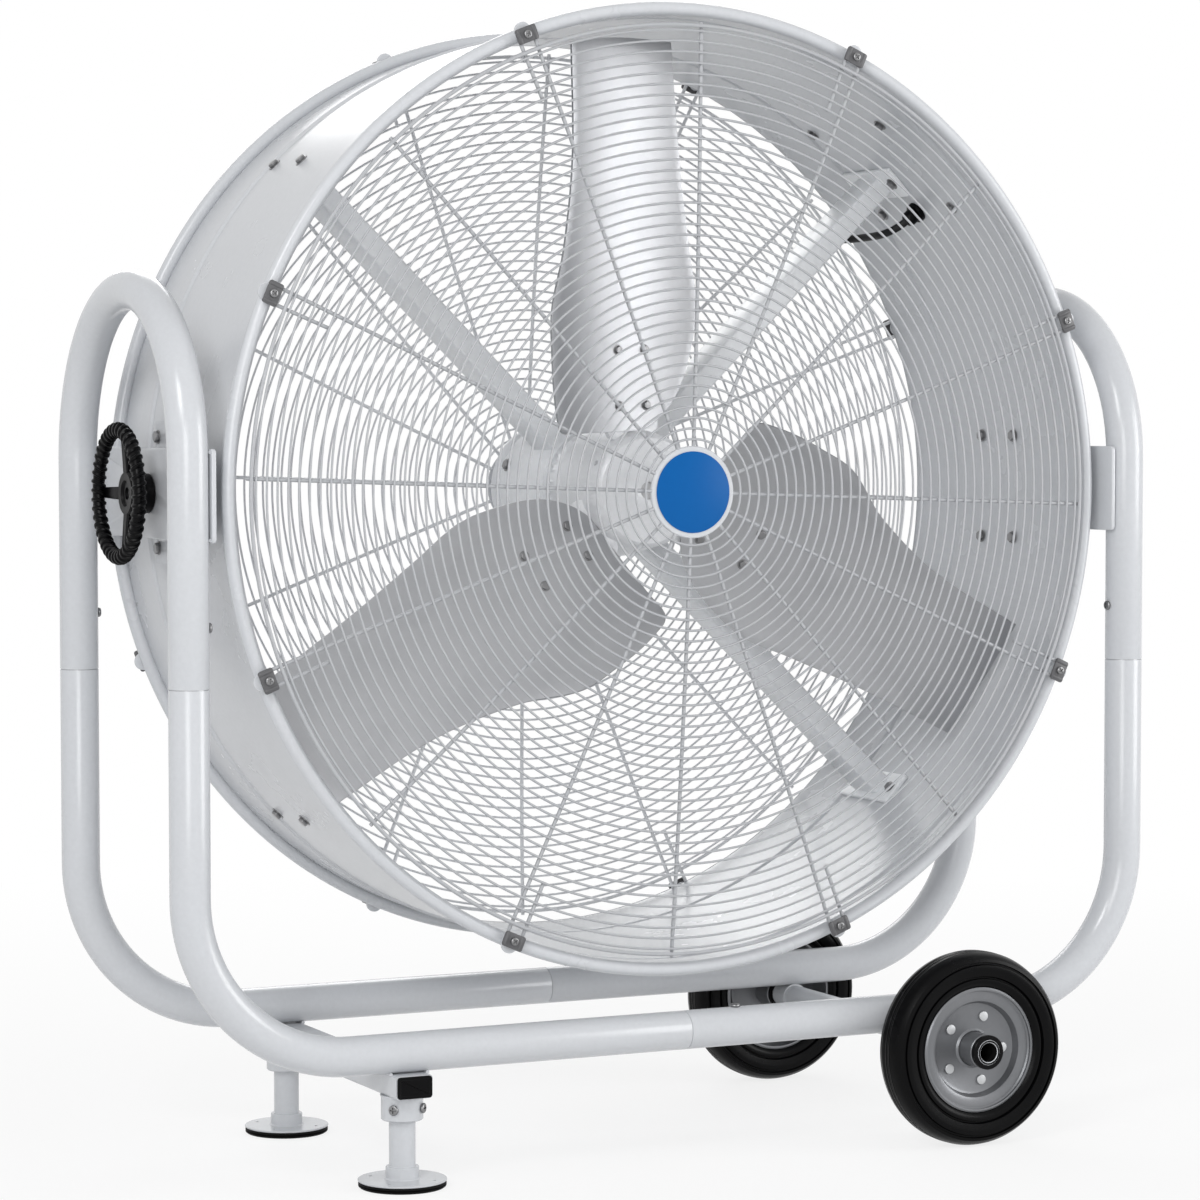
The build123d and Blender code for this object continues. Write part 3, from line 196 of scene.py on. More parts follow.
def tube(radius, start, heading, moves, around=24):
    # a ring of vertices pushed along runs and spun through bends, then closed at both ends
    activate()
    heading = Vector(heading).normalized()
    place = Vector(start)
    turn = heading.to_track_quat("Z", "Y").to_euler()
    bpy.ops.mesh.primitive_circle_add(vertices=around, radius=radius, location=place, rotation=turn)
    piece = bpy.context.object
    editMode()
    bpy.ops.mesh.select_all(action="SELECT")
    for move in moves:
        if move[0] == "run":
            step = heading * move[1]
            bpy.ops.mesh.extrude_region_move(TRANSFORM_OT_translate={"value": step})
            place = place + step
        else:
            bendRadius, angle, axis, steps = move[1:]
            axis = Vector(axis)
            centre = place + axis.cross(heading) * bendRadius
            # the spin tool turns left-handed
            bpy.ops.mesh.spin(steps=steps, angle=-radians(angle), center=centre, axis=axis)
            turned = Matrix.Rotation(radians(angle), 3, axis)
            place = centre + turned @ (place - centre)
            heading = turned @ heading
    tidyShell()
    return applyPlace(piece)


def drawn(centre, places):
    # one vertex drawn along a line of places round a centre, left in edit mode
    activate()
    bpy.ops.mesh.primitive_plane_add(size=0.01, location=centre)
    editMode()
    bpy.ops.mesh.merge(type="CENTER")
    bpy.ops.transform.translate(value=places[0])
    for last, here in zip(places, places[1:]):
        bpy.ops.mesh.extrude_region_move(TRANSFORM_OT_translate={"value": here - last})
    bpy.ops.mesh.select_all(action="SELECT")
    return bpy.context.object


def turnedShape(outline, steps=96, centre=pivot, axis=drumAxis, across=tiltAxis):
    # an outline of (radius, height) spun round an axis; one that starts off the axis is closed first
    if outline[0][0] > 0:
        outline = outline + [outline[0]]
    piece = drawn(centre, [across * r + axis * h for r, h in outline])
    bpy.ops.mesh.spin(steps=steps, angle=2 * pi, center=centre, axis=axis)
    tidyShell()
    return applyPlace(piece)


def plate(lowest, highest, cornerRadius=0, cornerAxis=2, cornerSteps=4):
    # a block between two corners, with its four corners rounded along one axis
    lowest, highest = Vector(lowest), Vector(highest)
    piece = primitive("cube", size=1, location=(lowest + highest) / 2, scale=highest - lowest)

    def atCorner(edge):
        first, last = [piece.data.vertices[index].co for index in edge.vertices]
        return abs((first - last).normalized()[cornerAxis]) > 0.99

    if cornerRadius:
        pickBy(piece, "EDGE", atCorner)
        bpy.ops.mesh.bevel(offset=cornerRadius, segments=cornerSteps, affect="EDGES")
        objectMode()
    return piece


def rod(radius, start, finish, around=24):
    run = Vector(finish) - Vector(start)
    return tube(radius, start, run, [("run", run.length)], around)


def insetFace(piece, test, rims):
    # a panel pressed into the faces that pass the test
    pickBy(piece, "FACE", test)
    for thickness, depth in rims:
        bpy.ops.mesh.inset(thickness=thickness, depth=depth)
    objectMode()


def smoothCopy(node, edge=0, limit=50):
    # a merged copy of a solid, with its flat faces made whole and its edges softened
    piece = linked(node + "Copy", frame["nodes"][node].data.copy())
    activate(piece)
    editMode()
    bpy.ops.mesh.select_all(action="SELECT")
    bpy.ops.mesh.remove_doubles(threshold=2e-6)
    if edge:
        bpy.ops.mesh.dissolve_limited(angle_limit=radians(0.5))
    bpy.ops.mesh.normals_make_consistent(inside=False)
    objectMode()
    if edge:
        softenEdges(piece, edge, 2, limit)
    return piece


# effects shared by the finishes


def addNode(tree, kind, **values):
    node = tree.nodes.new("ShaderNode" + kind)
    for key, value in values.items():
        setattr(node, key, value)
    return node


def feed(tree, node, sources):
    # each source is a constant or another node's output
    for key, source in sources.items():
        if hasattr(source, "is_linked"):
            tree.links.new(source, node.inputs[key])
        else:
            node.inputs[key].default_value = source


def fed(tree, kind, sources, output=0, **values):
    node = addNode(tree, kind, **values)
    feed(tree, node, sources)
    return node.outputs[output]


def noise(tree, place, scale, detail, roughness):
    return fed(tree, "TexNoise", {"Vector": place, "Scale": scale, "Detail": detail, "Roughness": roughness})


def spread(tree, value, low, high, toLow, toHigh):
    return fed(tree, "MapRange", {"Value": value, 1: low, 2: high, 3: toLow, 4: toHigh}, clamp=True)


def mixed(tree, factor, first, second, blend="MIX"):
    return fed(tree, "Mix", {0: factor, 6: first, 7: second}, 2, data_type="RGBA", blend_type=blend)


def newEffect(name, patches, amount, grain, fine, cloud, patch, uneven, speckled=False, glossFromGrain=False):
    # a colour with soft patches of a second one, a gloss that varies and a fine height:
    # fine is the height's detail and roughness, cloud the patches' scale, detail and roughness,
    # patch the cloud values where a patch starts and is full, and uneven how far the gloss varies
    group = bpy.data.node_groups.new(name, "ShaderNodeTree")
    for label, kind, value in (("Colour", "Color", (0.5, 0.5, 0.5, 1)), ("Patches", "Color", patches),
                               ("Patch amount", "Float", amount), ("Grain", "Vector", grain),
                               ("Roughness", "Float", 0.4)):
        socket = group.interface.new_socket(label, in_out="INPUT", socket_type="NodeSocket" + kind)
        socket.default_value = value
    for label, kind in (("Colour", "Color"), ("Roughness", "Float"), ("Height", "Float")):
        group.interface.new_socket(label, in_out="OUTPUT", socket_type="NodeSocket" + kind)
    given = group.nodes.new("NodeGroupInput").outputs
    place = addNode(group, "TexCoord").outputs["Object"]
    grained = fed(group, "VectorMath", {0: place, 1: given["Grain"]}, operation="MULTIPLY")
    height = noise(group, grained, 1.0, *fine)
    clouds = noise(group, place, *cloud)
    share = spread(group, clouds, *patch, 0.0, given["Patch amount"])
    colour = mixed(group, share, given["Colour"], given["Patches"])
    if speckled:
        shade = spread(group, noise(group, place, 160.0, 3.0, 0.6), 0.3, 0.7, 0.975, 1.015)
        tone = fed(group, "CombineColor", {0: shade, 1: shade, 2: shade})
        colour = mixed(group, 1.0, colour, tone, "MULTIPLY")
    gloss = fed(group, "Math", {0: height if glossFromGrain else clouds, 1: uneven, 2: given["Roughness"]},
                operation="MULTIPLY_ADD")
    feed(group, group.nodes.new("NodeGroupOutput"), {"Colour": colour, "Roughness": gloss, "Height": height})
    return group


# powder coat with orange peel, sheet metal with streaks, and moulded plastic or rubber
effects = {
    "coat": newEffect("powderCoat", (0.5, 0.5, 0.48, 1), 0.15, (420.0, 420.0, 420.0), (2.0, 0.5),
                      (9.0, 4.0, 0.55), (0.42, 0.72), 0.12, speckled=True),
    "brushed": newEffect("brushedMetal", (0.5, 0.5, 0.52, 1), 0.35, (900.0, 60.0, 900.0), (3.0, 0.6),
                         (14.0, 5.0, 0.6), (0.45, 0.75), 0.18, glossFromGrain=True),
    "moulded": newEffect("mouldedGrain", (0.2, 0.2, 0.2, 1), 0.15, (900.0, 900.0, 900.0), (3.0, 0.65),
                         (22.0, 5.0, 0.6), (0.4, 0.75), 0.2)}


def grey(level):
    return (level, level, level, 1)


def finish(name, slot, effect, colour, roughness, bump=0.1, depth=0.0004, metallic=0.0, specular=0.5,
           **values):
    material = bpy.data.materials.new(name)
    material.use_nodes = True
    tree = material.node_tree
    group = addNode(tree, "Group", node_tree=effects[effect])
    feed(tree, group, {"Colour": (*colour, 1), "Roughness": roughness})
    feed(tree, group, {label.replace("_", " "): value for label, value in values.items()})
    normal = fed(tree, "Bump", {"Strength": bump, "Distance": depth, "Height": group.outputs["Height"]})
    feed(tree, tree.nodes["Principled BSDF"],
         {"Metallic": metallic, "Specular IOR Level": specular, "Base Color": group.outputs["Colour"],
          "Roughness": group.outputs["Roughness"], "Normal": normal})
    return material


frameCoat = finish("frameCoat", "frame_grey", "coat", (0.56, 0.575, 0.60), 0.17, Patch_amount=0.05)
drumCoat = finish("drumCoat", "drum_grey", "coat", (0.57, 0.585, 0.61), 0.20, Patch_amount=0.04)
# one white wire coat in two copies: the front guard painted darker as painted shade and painted dark
# reflection, the rear guard painted lighter as painted light
shadedAndLitWireCoats = {
    "front": finish("shadedWireCoat", "wire_grey", "coat", (0.40, 0.41, 0.43), 0.26, Grain=(700, 700, 700)),
    "rear": finish("litRearWireCoat", "wire_grey", "coat", (0.84, 0.85, 0.87), 0.28, Grain=(700, 700, 700))}
# the spider's white coat is painted much lighter than the frame's: painted light inside the drum, where the
# drum shades it
litSpiderCoat = finish("litSpiderCoat", "spider_grey", "coat", (0.84, 0.855, 0.875), 0.26, 0.12)
# the motor's coat is painted much lighter than the frame's: painted light inside the drum, where the drum
# shades it
litMotorCoat = finish("litMotorCoat", "motor_grey", "coat", (0.82, 0.835, 0.86), 0.30, 0.18, Patch_amount=0.2)
clipCoat = finish("clipCoat", "clip_dark", "coat", (0.09, 0.09, 0.095), 0.38, 0.15, Patches=grey(0.2))
blueLabel = finish("blueLabel", "badge_blue", "coat", (0.0024, 0.098, 0.337), 0.35, 0.03, specular=0.12,
                   Patches=(0.004, 0.115, 0.36, 1), Patch_amount=0.2)
bladeAlloy = finish("bladeAlloy", "blade_alloy", "brushed", (0.43, 0.435, 0.45), 0.30, 0.06, 0.0002, 0.85,
                    Patches=(0.30, 0.305, 0.32, 1))
castAlloy = finish("castAlloy", "cast_alloy", "coat", (0.78, 0.79, 0.81), 0.34, 0.25, metallic=0.15,
                   Grain=(260, 260, 260), Patch_amount=0.2)
zincSteel = finish("zincSteel", "zinc", "brushed", (0.26, 0.26, 0.265), 0.26, 0.05, 0.0001, 1.0,
                   Patches=grey(0.12), Grain=(700, 700, 700))
rivetZinc = finish("rivetZinc", "zinc", "brushed", (0.52, 0.53, 0.54), 0.38, 0.05, 0.0001, 0.8,
                   Patches=grey(0.4), Grain=(500, 500, 500))
groundSteel = finish("groundSteel", "steel", "brushed", (0.55, 0.55, 0.56), 0.28, 0.05, 0.0001, 1.0,
                     Patches=grey(0.4))
rimMetal = finish("rimMetal", "rim_grey", "coat", (0.17, 0.175, 0.185), 0.30, 0.15, metallic=0.55,
                  Patches=(0.26, 0.26, 0.27, 1), Patch_amount=0.3)
blackMoulding = finish("blackMoulding", "black_plastic", "moulded", (0.0012, 0.0012, 0.0016), 0.2, 0.25,
                       specular=0.11, Patches=grey(0.004))
tyreRubber = finish("tyreRubber", "tyre_black", "moulded", (0.0010, 0.0010, 0.0013), 0.2, 0.30, specular=0.10,
                    Patches=grey(0.004), Patch_amount=0.25)
padRubber = finish("padRubber", "rubber_black", "moulded", (0.0015, 0.0015, 0.0015), 0.5, 0.3, specular=0.1,
                   Patches=grey(0.006))
cableJacket = finish("cableJacket", "rubber_black", "moulded", (0.008, 0.008, 0.009), 0.4, 0.2, specular=0.3)
# painted shade: near-black for the inside of the axle tube's bore and its cut ends
paintedShadeBore = finish("paintedShadeBore", "rubber_black", "moulded", (0.0015, 0.0015, 0.0015), 0.6, 0.2, specular=0.05)
fibreDisc = finish("fibreDisc", "fibre", "moulded", (0.20, 0.16, 0.12), 0.7, 0.5, Patches=(0.3, 0.26, 0.2, 1))
copperWinding = finish("copperWinding", "winding", "brushed", (0.55, 0.24, 0.10), 0.4, 0.5, 0.001, 0.8,
                       Patches=(0.3, 0.12, 0.05, 1))
print("finishes made")

# small parts that repeat


def panScrew(radius, height):
    # a cross-head screw that stands on the origin and points up
    screw = primitive("cylinder", vertices=28, radius=radius, depth=height, location=(0, 0, height / 2))
    softenEdges(screw, height * 0.45, 3, 60)
    reach, half, floor = radius * 0.62, radius * 0.13, height * 0.45
    for turn in (0, 90):
        cutter = plate((-reach, -half, floor), (reach, half, height * 1.5))
        cutter.rotation_euler.z = radians(turn)
        cutWith(screw, applyPlace(cutter))
    return screw


def hexHead(radius, height, washer=1.25):
    # a hexagonal head on its washer, chamfered on top
    ring = primitive("cylinder", vertices=28, radius=radius * washer, depth=height * 0.2,
                     location=(0, 0, height * 0.1))
    softenEdges(ring, height * 0.06)
    head = primitive("cylinder", vertices=6, radius=radius, depth=height * 0.8, location=(0, 0, height * 0.6))
    pickBy(head, "FACE", lambda face: face.normal.z > 0.9)
    bpy.ops.mesh.inset(thickness=radius * 0.14, depth=0)
    bpy.ops.transform.translate(value=(0, 0, height * 0.1))
    objectMode()
    softenEdges(head, radius * 0.05, 2, 25)
    return joined([head, ring])


def standing(spot, outward):
    # the place for a piece that stands on a spot and points outward
    turn = Vector(outward).to_track_quat("Z", "Y").to_matrix().to_4x4()
    return Matrix.Translation(spot) @ turn


def onDrum(angle, radius, y, way=1):
    # the place for a piece that stands on the drum and points outwards, or inwards
    turn = drumTurn(angle)
    return standing(turn @ (pivot + Vector((radius, y, 0))), way * (turn.to_3x3() @ tiltAxis))


# the tube frame
frameTube = {"radius": 0.0254, "halfX": 0.683, "halfY": 0.217, "arcZ": 0.922, "joinZ": 0.643, "seam": 0.0006,
             "bend": 0.210, "railZ": 0.1737, "screwAbove": 0.075, "around": 36, "edge": 0.0006}
frameScrew = {"radius": 0.0066, "high": 0.0045, "sunk": 0.0004, "collarOut": 0.0268, "collarUp": 0.016}
pivotPlate = {"inner": 0.6514, "short": 0.012, "corner": 0.006, "hole": 0.00806, "edge": 0.0012,
              "bead": 0.0022, "beadX": 0.6578, "beadIn": 0.004, "beadReach": 0.011}
legs = [(side, along) for _, side in sides for _, along in ends]


def weldBead(radius, reach, x, y, z):
    return rod(radius, (x, y - reach, z), (x, y + reach, z), 10)


def frameTubePiece(start, heading, moves, name, node):
    piece = tube(frameTube["radius"], start, heading, moves, frameTube["around"])
    finished(softenEdges(piece, frameTube["edge"], 2, 60), name, "frame", frameCoat, node)


def buildHoop(name, side):
    t = frameTube
    low = t["joinZ"] + t["seam"] / 2
    rise = t["arcZ"] - low
    frameTubePiece((side * t["halfX"], -t["halfY"], low), upAxis,
                   [("run", rise), ("bend", t["halfY"], 180, (-1, 0, 0), 48), ("run", rise)],
                   "sideHoop." + name, "hoop_" + name)


def buildLowerTube(name, side, end, along):
    t = frameTube
    top = t["joinZ"] - t["seam"] / 2
    leg, rail = top - t["railZ"] - t["bend"], t["halfX"] - t["bend"] - t["seam"] / 2
    frameTubePiece((side * t["halfX"], along * t["halfY"], top), -upAxis,
                   [("run", leg), ("bend", t["bend"], 90, (0, side, 0), 28), ("run", rail)],
                   "lowerTube." + end + "." + name, "lower_tube_" + end + "_" + name)


def buildFrameScrews():
    t, s = frameTube, frameScrew
    legX = t["halfX"] - t["radius"] + s["sunk"]
    places = [standing((side * legX, along * t["halfY"], t["joinZ"] + t["screwAbove"]), (-side, 0, 0))
              for side, along in legs]
    railTop = t["railZ"] + t["radius"] - s["sunk"]
    places += [standing((t["screwAbove"], along * t["halfY"], railTop), upAxis) for _, along in ends]
    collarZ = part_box("foot_crossbar")[0].z + s["collarUp"]
    for _, along in ends:
        for turn in (radians(45), radians(135)):
            outward = Vector((cos(turn), along * sin(turn), 0))
            spot = Vector((foot["x"], along * foot["y"], collarZ)) + outward * s["collarOut"]
            places.append(standing(spot, outward))
    screws = copies(panScrew(s["radius"], s["high"]), places)
    finished(screws, "frameScrews", "frame", zincSteel, "frame_screws")


def buildPivotPlates():
    p = pivotPlate
    lower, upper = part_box("pivot_plates")
    plates = []
    for _, side in sides:
        inner, outer = sorted((side * p["inner"], side * upper.x))
        first, last = lower.y + p["short"], upper.y - p["short"]
        sheet = plate((inner, first, lower.z), (outer, last, upper.z), p["corner"], 0)
        cutWith(sheet, rod(p["hole"], (inner - 0.01, 0, pivot.z), (outer + 0.01, 0, pivot.z)))
        plates.append(softenEdges(sheet, p["edge"]))
    # weld beads where the plate meets each leg
    for side, along in legs:
        for z in (lower.z + p["beadIn"], upper.z - p["beadIn"]):
            spot = (side * p["beadX"], along * frameTube["halfY"], z)
            plates.append(weldBead(p["bead"], p["beadReach"], *spot))
    finished(plates, "pivotPlates", "frame", frameCoat, "pivot_plates")


crossbar = {"halfX": 0.025, "halfY": 0.245, "corner": 0.004, "up": 0.032, "bead": 0.0024, "beadReach": 0.012,
            "capThick": 0.0031, "capEdge": 0.0006}
foot = {"x": -0.3965, "y": 0.205, "collar": 0.027, "leg": 0.017, "disc": 0.057, "discThick": 0.0025,
        "pad": 0.056, "padThick": 0.008, "socket": 0.0215, "socketTop": 0.0265, "holeAt": 0.044,
        "hole": 0.0024, "bore": 0.012}


def buildCrossbar():
    lower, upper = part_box("foot_crossbar")
    c, x, r = crossbar, foot["x"], foot["collar"]
    low, bore = lower.z + c["up"], foot["leg"] + 0.0003
    parts = [plate((x - c["halfX"], -c["halfY"], low), (x + c["halfX"], c["halfY"], upper.z), c["corner"], 1)]
    # collars with a rolled lower edge and a weld fillet at the bar
    outline = [(bore, lower.z), (r - 0.0015, lower.z), (r, lower.z + 0.0015), (r, low - 0.003),
               (r + 0.0012, low - 0.0008), (r + 0.0012, low + 0.0005), (bore, low + 0.0005)]
    parts += [turnedShape(outline, 48, (x, along * foot["y"], 0), upAxis) for _, along in ends]
    # weld beads between the bar and the rails
    for _, along in ends:
        for edge in (-1, 1):
            spot = (x + edge * c["halfX"], along * frameTube["halfY"], upper.z + 0.0004)
            parts.append(weldBead(c["bead"], c["beadReach"], *spot))
    finished(parts, "footCrossbar", "frame", frameCoat, "foot_crossbar")


def buildCrossbarCaps():
    c = crossbar
    lower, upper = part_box("crossbar_end_caps")
    caps = []
    for _, along in ends:
        inner, outer = sorted((along * (upper.y - c["capThick"]), along * upper.y))
        cap = plate((lower.x + 0.0005, inner, lower.z), (upper.x - 0.0005, outer, upper.z), c["corner"], 1)
        insetFace(cap, lambda face: face.normal.y * along > 0.9, ((0.003, 0), (0.0015, -0.0008)))
        caps.append(softenEdges(cap, c["capEdge"], 2, 30))
    finished(caps, "crossbarCaps", "frame", blackMoulding, "crossbar_end_caps", 10)


def buildFoot(end, along):
    f = foot
    centre = Vector((f["x"], along * f["y"], 0))
    leg, disc, socket, bore = f["leg"], f["disc"], f["socket"], f["bore"]
    low, top, collar = f["padThick"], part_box(end + "_foot")[1].z, f["socketTop"]
    high = low + f["discThick"]
    outline = [(bore, low + 0.0025), (bore, low), (disc - 0.0008, low), (disc, low + 0.0008),
               (disc, high - 0.0006), (disc - 0.0008, high), (socket + 0.002, high), (socket, high + 0.0018),
               (socket, collar - 0.001), (socket - 0.001, collar), (leg + 0.0006, collar),
               (leg, collar + 0.0008), (leg, top - 0.001), (leg - 0.001, top), (leg - 0.0025, top),
               (leg - 0.0025, low + 0.0045), (bore, low + 0.0045)]
    made = turnedShape(outline, 64, centre, upAxis)
    for turn in (45, 135, 225, 315):
        spot = centre + Vector((cos(radians(turn)), sin(radians(turn)), 0)) * f["holeAt"]
        cutWith(made, rod(f["hole"], spot + upAxis * (low - 0.001), spot + upAxis * (low + 0.004), 16))
    finished(made, "foot." + end, "foot_" + end, frameCoat, end + "_foot")
    r = f["pad"]
    outline = [(0, 0), (r - 0.002, 0), (r, 0.0015), (r + 0.0004, 0.003), (r - 0.0012, 0.004),
               (r + 0.0004, 0.005), (r, low - 0.0008), (r - 0.001, low), (0, low)]
    pad = turnedShape(outline, 64, centre, upAxis)
    finished(pad, "footPad." + end, "foot_" + end, padRubber, end + "_foot_pad")


# wheels
wheel = {"x": 0.398, "r": 0.131, "centreY": 0.282, "half": 0.030, "rim": 0.083, "dish": 0.062, "hub": 0.023,
         "hubOut": 0.322, "hubIn": 0.249, "hubBore": 0.020, "barrel": 0.025, "sheet": 0.003, "face": 0.005,
         "step": 0.012, "axle": 0.017, "bore": 0.013, "axleEnd": 0.331, "beadY": 0.219, "collarY": 0.2477,
         "rivetAt": 0.045, "rivet": 0.0068, "rivetHigh": 0.0030, "rivetCount": 5, "rivetStart": 70,
         "grooves": (0.0090, 0.0055, 0.0025)}


def onAxle(y):
    return Vector((wheel["x"], y, wheel["r"]))


def near(radius, height, *steps):
    # points of an outline, by how far they are from one place
    return [(radius + outward, height + upward) for outward, upward in steps]


def buildTyre(end, along):
    r, half = wheel["r"], wheel["half"]
    # from the bead seat over the stepped side wall and the crowned tread
    side = near(wheel["rim"], half, (0.0001, -0.009), (0.004, -0.0045), (0.009, -0.0025), (0.0125, -0.0030),
                (0.0135, -0.0058), (0.0150, -0.0058), (0.0165, -0.0018), (0.024, -0.0004))
    side += near(r, half, (-0.019, 0), (-0.0165, -0.0006), (-0.0155, -0.0036), (-0.0135, -0.0038),
                 (-0.0125, -0.0014), (-0.0085, -0.0028), (-0.0052, -0.0068), (-0.0026, -0.0118),
                 (-0.0008, -0.0185))
    # fine grooves round the crown
    for y in wheel["grooves"]:
        side += near(r, y, (-0.0004, 0.0008), (-0.0016, 0.0003), (-0.0016, -0.0003), (-0.0003, -0.0008))
    side.append((r, 0.0008))
    outline = side + [(radius, -y) for radius, y in reversed(side)]
    tyre = turnedShape(outline, 128, onAxle(along * wheel["centreY"]))
    finished(tyre, "tyre." + end, "wheel_" + end, tyreRubber, end + "_tyre", 30)


def buildRim(end, along):
    w = wheel
    rim, dish, hub, bore, face = w["rim"], w["dish"], w["hub"], w["hubBore"], w["face"]
    front, step = face + w["sheet"], w["step"]
    centre, outward = onAxle(along * w["centreY"]), drumAxis * along
    # barrel with rolled lips
    lips = near(rim, -w["barrel"], (-0.003, 0), (-0.001, -0.0002), (0.0012, 0.0012), (0, 0.003))
    lips += near(rim, w["barrel"], (0, -0.003), (0.0012, -0.0012), (-0.001, 0.0002), (-0.003, 0))
    # dished disc: flat round the hub, a rounded step, then flat out to the barrel
    disc = near(hub, front, (-0.001, 0), (0.001, 0.002), (0.004, 0))
    disc += near(dish, front, (-0.005, 0), (-0.001, 0.0015), (0.003, step - 0.0015), (0.007, step))
    disc += near(rim, front + step, (-0.005, 0), (-0.0025, 0.002)) + [(rim - 0.0025, face + step)]
    disc += near(dish, face, (0.008, step), (0.004, step - 0.0015), (0, 0.0015), (-0.004, 0))
    disc.append((hub - 0.001, face))
    # hub tube with chamfered ends
    low, high = w["hubIn"] - w["centreY"], w["hubOut"] - w["centreY"]
    core = [(bore, low), (hub - 0.001, low), (hub, low + 0.001), (hub, high - 0.001), (hub - 0.001, high),
            (bore + 0.0008, high), (bore, high - 0.0008)]
    parts = [turnedShape(outline, steps, centre, outward)
             for outline, steps in ((lips, 96), (disc, 96), (core, 64))]
    finished(parts, "wheelRim." + end, "wheel_" + end, rimMetal, end + "_wheel_rim", 30)
    # flat-headed rivets through the dished disc
    places = []
    for index in range(w["rivetCount"]):
        turn = radians(w["rivetStart"] + index * 360 / w["rivetCount"])
        spot = centre + Vector((cos(turn), 0, sin(turn))) * w["rivetAt"] + outward * (front - 0.0003)
        places.append(standing(spot, outward))
    high = w["rivetHigh"]
    rivet = primitive("cylinder", vertices=28, radius=w["rivet"], depth=high, location=(0, 0, high / 2))
    softenEdges(rivet, 0.3 * high, 3, 60)
    finished(copies(rivet, places), "wheelRivets." + end, "wheel_" + end, rivetZinc)


def buildBushes(end, along):
    outline = [(0.01706, -0.022), (0.0199, -0.022), (0.0199, 0.0001), (0.0213, 0.0001), (0.0219, 0.0004),
               (0.0219, 0.0008), (0.0213, 0.001), (0.0175, 0.001), (0.01706, 0.0006)]
    parts = [turnedShape(outline, 48, onAxle(along * y), drumAxis * along * way)
             for y, way in ((wheel["hubOut"], 1), (wheel["hubIn"], -1))]
    finished(parts, "wheelBushes." + end, "wheel_" + end, blackMoulding, end + "_wheel_bushes")


def buildAxle():
    w = wheel
    end, r, bore = w["axleEnd"], w["axle"], w["bore"]
    outline = [(bore + 0.0009, -end), (r - 0.0008, -end), (r, -end + 0.0008), (r, end - 0.0008),
               (r - 0.0008, end), (bore + 0.0009, end), (bore, end - 0.0009), (bore, 0.0009 - end)]
    bead = [(r, -0.012), (r + 0.0024, -0.012), (r + 0.0024, -0.008), (r, -0.008)]
    parts = [turnedShape(outline, 48, onAxle(0))]
    parts += [turnedShape(bead, 32, onAxle(along * w["beadY"]), drumAxis * along) for _, along in ends]
    made = finished(parts, "axleTube", "frame", frameCoat, "axle_tube")
    # the inside of the bore is painted near-black as painted shade, and the cut ends are darkened too
    made.data.materials.append(paintedShadeBore)
    for polygon in made.data.polygons:
        spot = polygon.center - onAxle(polygon.center.y)
        inside = spot.length < bore + 0.0003 and spot.dot(polygon.normal) < 0
        if inside or abs(polygon.normal.y) > 0.9 and abs(polygon.center.y) > end - 0.0002:
            polygon.material_index = 1
    seat = r + 0.0001
    outer = [(seat, 0), (seat, -0.0067), (0.0225, -0.0067), (0.023, -0.006), (0.023, -0.0012),
             (0.0222, -0.0003), (0.0185, 0)]
    inner = [(seat, 0), (seat, -0.004), (0.0215, -0.004), (0.022, -0.0035), (0.022, -0.0005), (0.0215, 0)]
    rings = []
    for _, along in ends:
        for outline, y in ((outer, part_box("axle_collars")[1].y), (inner, w["collarY"])):
            rings.append(turnedShape(outline, 48, onAxle(along * y), drumAxis * along))
    finished(rings, "axleCollars", "frame", blackMoulding, "axle_collars")


# handwheels
handwheel = {"r": 0.081, "thick": 0.0105, "core": 0.0078, "rib": 0.0030, "rimX": 0.699, "hub": 0.0285,
             "neck": 0.0255, "bore": 0.0081, "inner": 0.6578, "hubEnd": 0.6908, "ribs": 44, "ribLean": 24,
             "spokes": 4, "spokeWide": 0.0085, "spokeThick": 0.007, "taper": 0.82, "rise": 0.004}


def buildHandwheel(name, side):
    h = handwheel
    r, hub, neck, bore = h["r"], h["hub"], h["neck"], h["bore"]
    centre = Vector((side * h["rimX"], 0, pivot.z))
    parts = [primitive("torus", major_segments=88, minor_segments=16, major_radius=r, minor_radius=h["core"],
                       location=centre, rotation=(0, pi / 2, 0))]
    # leaning ribs wound round the rim
    rib = primitive("torus", major_segments=22, minor_segments=8, major_radius=h["thick"] - h["rib"],
                    minor_radius=h["rib"], rotation=(pi / 2, 0, radians(h["ribLean"])))
    middle, out = Matrix.Translation(centre), Matrix.Translation((0, 0, r))
    parts += copies(rib, [middle @ Matrix.Rotation(2 * pi * index / h["ribs"], 4, "X") @ out
                          for index in range(h["ribs"])])
    # hub with a raised boss and four flat spokes
    low, high = h["inner"] - h["rimX"] + 0.0003, h["hubEnd"] - h["rimX"]
    outline = [(bore, low), (0.024, low), (neck, low + 0.0015), (neck, low + 0.012), (hub, low + 0.015),
               (hub, high - 0.002), (hub - 0.002, high), (0.017, high), (0.015, high - 0.003),
               (0.0105, high - 0.003), (bore, high - 0.003)]
    parts.append(turnedShape(outline, 64, centre, tiltAxis * side, upAxis))
    spoke = plate((-h["spokeThick"], -h["spokeWide"], hub - 0.004), (0, h["spokeWide"], r - 0.003))
    pickBy(spoke, "VERT", lambda vertex: vertex.co.z > r - 0.01)
    bpy.ops.transform.resize(value=(1.0, h["taper"], 1))
    bpy.ops.transform.translate(value=(h["rise"], 0, 0))
    objectMode()
    softenEdges(spoke, 0.0022, 3)
    place = Matrix.Translation((side * (h["hubEnd"] - 0.0005), 0, pivot.z)) @ Matrix.Scale(side, 4, tiltAxis)
    parts += copies(spoke, [place @ Matrix.Rotation(index * 2 * pi / h["spokes"], 4, "X")
                            for index in range(h["spokes"])])
    finished(parts, "handwheel." + name, "handwheel_" + name, blackMoulding, "handwheel_" + name, 40)


